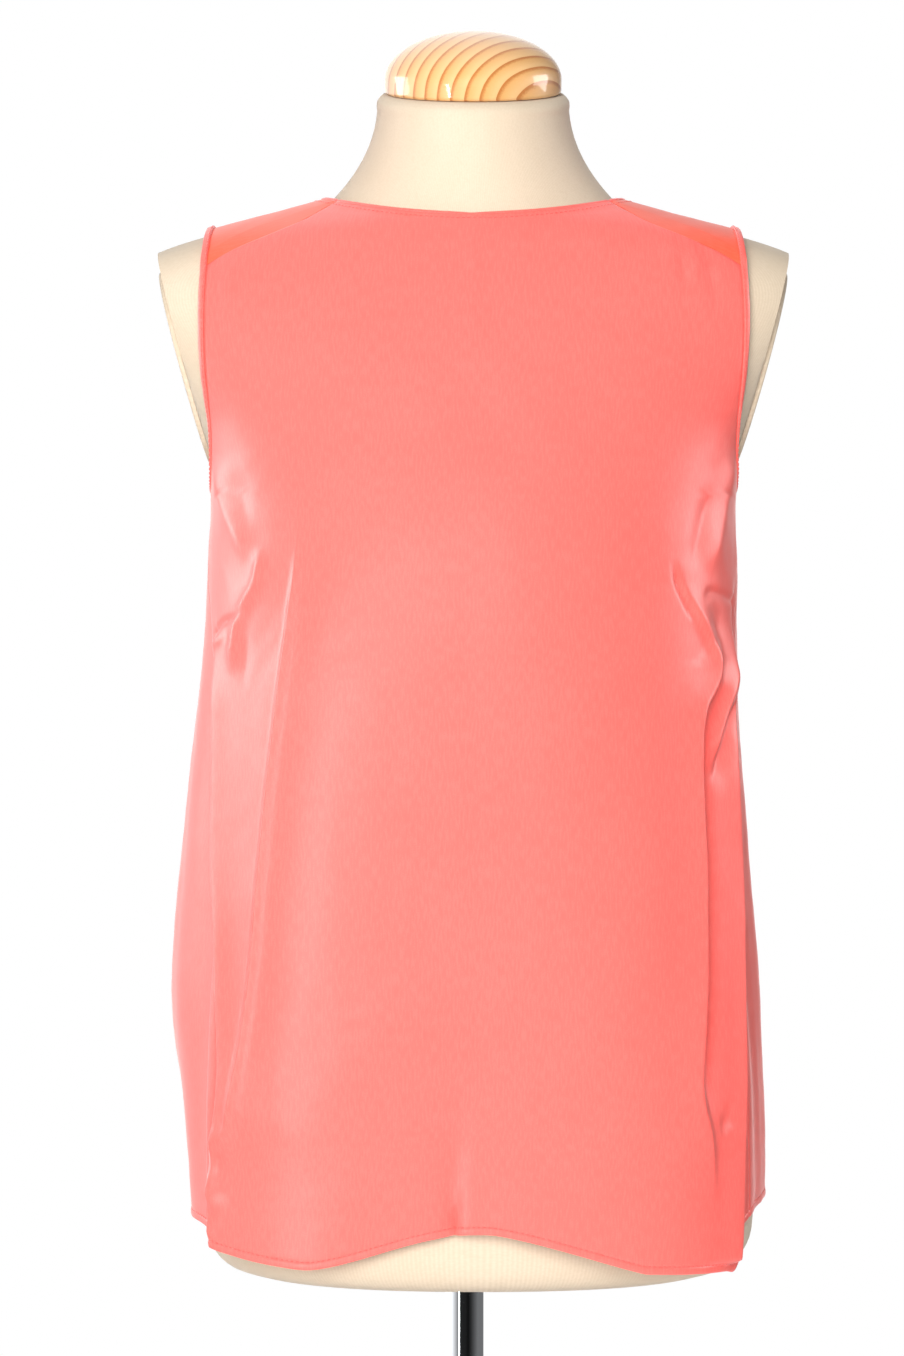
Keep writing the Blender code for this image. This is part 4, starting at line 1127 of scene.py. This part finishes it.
def binding(name, node, edge, inside, width, count, lift=0.0):
    """A narrow rounded band past a closed edge.  Gives it and the line its sewing follows."""
    at, within = even_loop(edge, count), even_loop(inside, count)
    along = unit(np.roll(at, -1, axis=0) - np.roll(at, 1, axis=0))
    away = at - within
    away = unit(away - along * np.sum(away * along, axis=1, keepdims=True))
    for _ in range(6):
        away = unit(np.roll(away, 1, axis=0) + 2 * away + np.roll(away, -1, axis=0))
    # the neck's band faces up, and the armholes' bands face away from the form
    facing = np.array((0, 0, 1)) if name == "neck_band" else at - (0, 0, at[:, 2].mean())
    normal = unit(np.cross(along, away))
    normal = normal * np.sign(np.sum(normal * facing, axis=1, keepdims=True))
    rings = []
    for t in np.radians(np.arange(BAND_SIDES) * (360 / BAND_SIDES)):
        out = width / 2 + (width / 2 + BAND_LAP) * power(np.cos(t), BAND_SQUARE)
        up = BINDING / 2 * power(np.sin(t), BAND_SQUARE) - CLOTH / 2 + lift
        rings.append(at + away * out + normal * up)
    points = np.stack(rings + rings[:1], axis=1)
    points = np.concatenate([points, points[:1]])
    # a strip a millimetre long for each step, and 8 mm wide when it is laid flat
    lengths, widths = np.linspace(0, 0.001 * count, count + 1), np.linspace(0, 0.008, BAND_SIDES + 1)
    places = np.stack(np.meshgrid(lengths, widths, indexing="ij"), axis=-1)
    piece = add_piece(name, points.reshape(-1, 3), grid_faces(*points.shape[:2]), places.reshape(-1, 2))
    mend(piece)
    finish_piece(piece, coral, "coral_crepe", node)
    sewing = at + away * SEWING_OUT + normal * (BINDING / 2 - CLOTH / 2 - SEWING_SINK + lift)
    return piece, sewing, normal


neck_edge = np.concatenate([front_grid[-1], yoke_grid[-1]])
neck_inside = np.concatenate([front_grid[-2], yoke_grid[-2]])
neck_band = binding("neck_band", "neck_binding", neck_edge, neck_inside, NECK_BAND, NECK_STEPS)[0]

arm_sewing = {}
front_side = (front_levels >= underarm - 1e-9) & (front_levels < corner)
back_side = back_levels >= underarm - 1e-9
for side in ("right", "left"):
    # the front's first column lies at the wearer's right, and the back's at the left
    first, step = (0, 1) if side == "right" else (-1, -1)
    span = slice(None, -SIDE_COLUMNS - 2, -1) if side == "right" else slice(0, SIDE_COLUMNS + 1)
    edge, inside = (
        np.concatenate([
            front_grid[front_side, first + step * n],
            yoke_grid[n, span],
            back_grid[back_side, -1 - first - step * n][::-1],
        ])
        for n in (0, 1)
    )
    name, node = "armhole_band_" + side, "armhole_binding_" + side
    made, *arm_sewing[side] = binding(name, node, edge, inside, ARM_BAND, ARM_STEPS, ARM_BAND_LIFT)


# ---------------------------------------------------------------- the stitching
# The hem, the neckline and the armholes are sewn with one line of lock stitches in matching
# polyester thread, about eight to the inch and half sunk in the cloth.

STITCH = 0.0023
STITCH_GAP = 0.0008
THREAD = 0.00034
THREAD_SIDES = 5
# along a stitch: the share of its length, its thickness, and its height over the cloth
STITCH_SHAPE = ((0.0, 0.35, -0.6), (0.15, 1.0, 0.1), (0.85, 1.0, 0.1), (1.0, 0.35, -0.6))

# Polyester sewing thread: a shade darker than the cloth, its twist a fine change of tone.
thread, tree, shader = new_material("polyester_thread")
place = add_node(tree, "TexCoord").outputs["Object"]
twist = add_node(tree, "TexNoise", {"Scale": 2600.0}, {"Vector": place})
colour = add_node(tree, "ValToRGB", {"tones": ((0.3, "#E04F48"), (0.7, "#F4675F"))}, {"Fac": twist})
set_up(tree, shader, {"Roughness": 0.4, "Sheen Weight": 0.2}, {"Base Color": colour})


def sew(name, path, normals):
    """A row of stitches along a path: each is a short thread with rounded ends."""
    arc = run(path)
    at = np.arange(STITCH, arc[-1] - STITCH, STITCH + STITCH_GAP)

    def along(where, values):
        return np.stack([np.interp(where, arc, values[:, k]) for k in range(3)], axis=-1)

    start, end = along(at - STITCH / 2, path), along(at + STITCH / 2, path)
    normal = unit(along(at, normals))
    across = np.cross(normal, unit(end - start))
    rings = []
    for share, size, lift in STITCH_SHAPE:
        middle = mix(start, end, share) + normal * THREAD * lift
        for t in np.radians(np.arange(THREAD_SIDES) * (360 / THREAD_SIDES)):
            rings.append(middle + (normal * math.cos(t) + across * math.sin(t)) * THREAD * size)
    last = (len(STITCH_SHAPE) - 1) * THREAD_SIDES
    stitch = [list(range(THREAD_SIDES)), list(range(last + THREAD_SIDES - 1, last - 1, -1))]
    for a in range(last):
        b = a + 1 if (a + 1) % THREAD_SIDES else a + 1 - THREAD_SIDES
        stitch.append([a, a + THREAD_SIDES, b + THREAD_SIDES, b])
    starts = range(0, len(rings) * len(at), len(rings))
    faces = [[first + corner for corner in face] for first in starts for face in stitch]
    piece = add_piece(name, np.stack(rings, axis=1).reshape(-1, 3), faces, sharp=80)
    mend(piece, join=False)
    return finish_piece(piece, thread, "coral_crepe")


def inside_line(grid, distance):
    """The line on a grid that runs a distance below its top row, and the normals there."""
    down = np.concatenate([grid, grid_normals(grid)], axis=-1)[::-1]
    arc = run(down[..., :3])
    columns = range(arc.shape[1])
    found = [[np.interp(distance, arc[:, c], down[:, c, k]) for k in range(6)] for c in columns]
    return np.split(np.array(found), 2, axis=1)


sewn = HEM_ROWS.index(HEM_TURN)
hem_line = np.concatenate([front_grid[sewn], back_grid[sewn]])
hem_out = np.concatenate([grid_normals(front_grid)[sewn], grid_normals(back_grid)[sewn]])
hem_stitches = sew("hem_stitching", hem_line, hem_out)
neck_lines = zip(inside_line(front_grid, NECK_SEWING), inside_line(yoke_grid, NECK_SEWING))
neck_stitches = sew("neck_stitching", *(np.concatenate(parts) for parts in neck_lines))
arm_stitches = [sew("armhole_stitching_" + side, *arm_sewing[side]) for side in ("right", "left")]


# ---------------------------------------------------------------- floor, light and camera
# A round pale floor in a white room that is brighter at the wearer's right, with one large soft
# light in front, a weak one at the wearer's left and one behind.  Two high windows at the sides
# and a low strip only show as gloss on the cloth's folds and the pole.

bpy.ops.mesh.primitive_circle_add(vertices=128, radius=1.1, fill_type="NGON", location=(0, 0, -0.0006))
floor = bpy.context.object
floor.name = "floor"
# Matt pale floor paint, with very slight broad changes of tone.
pale, tree, shader = new_material("pale_painted_floor")
place = add_node(tree, "TexCoord").outputs["Object"]
mottle = add_node(tree, "TexNoise", {"Scale": 3.0, "Detail": 3.0}, {"Vector": place})
colour = add_node(tree, "ValToRGB", {"tones": ((0.0, "#F3F2F0"), (1.0, "#F7F6F5"))}, {"Fac": mottle})
set_up(tree, shader, {"Roughness": 0.8}, {"Base Color": colour})
floor.data.materials.append(pale)

world = bpy.data.worlds.new("white_room")
bpy.context.scene.world = world
world.use_nodes = True
tree = world.node_tree
tree.nodes.clear()
facing = add_node(tree, "TexCoord").outputs["Generated"]
parts = add_node(tree, "SeparateXYZ", links={"Vector": facing})
across, along = parts.outputs["X"], parts.outputs["Y"]
# what shines in the cloth: bright behind, dark in front, and dimmer on the wearer's left
behind = {"From Min": -0.92, "From Max": -0.1, "To Min": 0.02, "To Max": 1.5}
depth = add_node(tree, "MapRange", behind, {"Value": along})
leftward = {"From Min": 0.0, "From Max": 0.5, "To Min": 1.0, "To Max": 0.14}
dimmer = add_node(tree, "MapRange", leftward, {"Value": across})
sided = add_node(tree, "Math", {"operation": "MULTIPLY"}, {0: depth, 1: dimmer})
# what lights it: brighter at the wearer's right.  The camera sees plain white.
rightward = {"From Min": -1.0, "From Max": 1.0, "To Min": 0.46, "To Max": 0.13}
spread = add_node(tree, "MapRange", rightward, {"Value": across})
ray = add_node(tree, "LightPath").outputs
lit = add_node(tree, "Mix", {"data_type": "FLOAT"}, {0: ray["Is Diffuse Ray"], 2: sided, 3: spread})
white = add_node(tree, "Mix", {"data_type": "FLOAT", 3: 1.0}, {0: ray["Is Camera Ray"], 2: lit})
room = add_node(tree, "Background", {"Color": (1.0, 1.0, 1.0, 1.0)}, {"Strength": white})
add_node(tree, "OutputWorld", links={"Surface": room})

# Each light's place, the height on the form that it faces, its width and height, its watts,
# and whether it shows only as gloss or gives only soft light.
for name, place, aim, size, watts, gloss_only in (
    ("key", (-0.32, -2.2, 1.05), 0.62, (1.3, 1.3), 75, False),
    ("fill", (1.6, -1.7, 0.9), 0.58, (1.4, 1.4), 1.5, False),
    ("rear", (1.2, 2.3, 1.2), 0.62, (1.4, 1.4), 46, False),
    ("window_right", (-2.2, 0.62, 1.15), 0.65, (1.1, 1.1), 24, True),
    ("window_left", (2.2, 0.25, 1.35), 0.65, (1.1, 1.1), 24, True),
    ("strip", (-1.1, -1.65, 0.35), 0.35, (0.14, 0.9), 9, True),
):
    lamp = bpy.data.lights.new(name, "AREA")
    lamp.shape = "RECTANGLE"
    lamp.size, lamp.size_y = size
    lamp.energy = watts
    made = bpy.data.objects.new(name, lamp)
    bpy.context.collection.objects.link(made)
    made.location = place
    x, y, z = place
    made.rotation_euler = (math.atan2(math.hypot(x, y), z - aim), 0, math.atan2(-y, -x) - math.pi / 2)
    made.visible_diffuse = not gloss_only
    made.visible_glossy = gloss_only

# The camera looks level at the form from the front, with a long lens on a 36 mm high frame.
lens = bpy.data.cameras.new("camera")
camera = bpy.data.objects.new("camera", lens)
bpy.context.collection.objects.link(camera)
camera.location = (-0.0126, -1.9, 0.651)
camera.rotation_euler = (math.pi / 2, 0, 0)
lens.sensor_fit = "VERTICAL"
lens.sensor_height = 36
lens.lens = 84.07
bpy.context.scene.camera = camera
bpy.context.scene.view_settings.view_transform = "Standard"
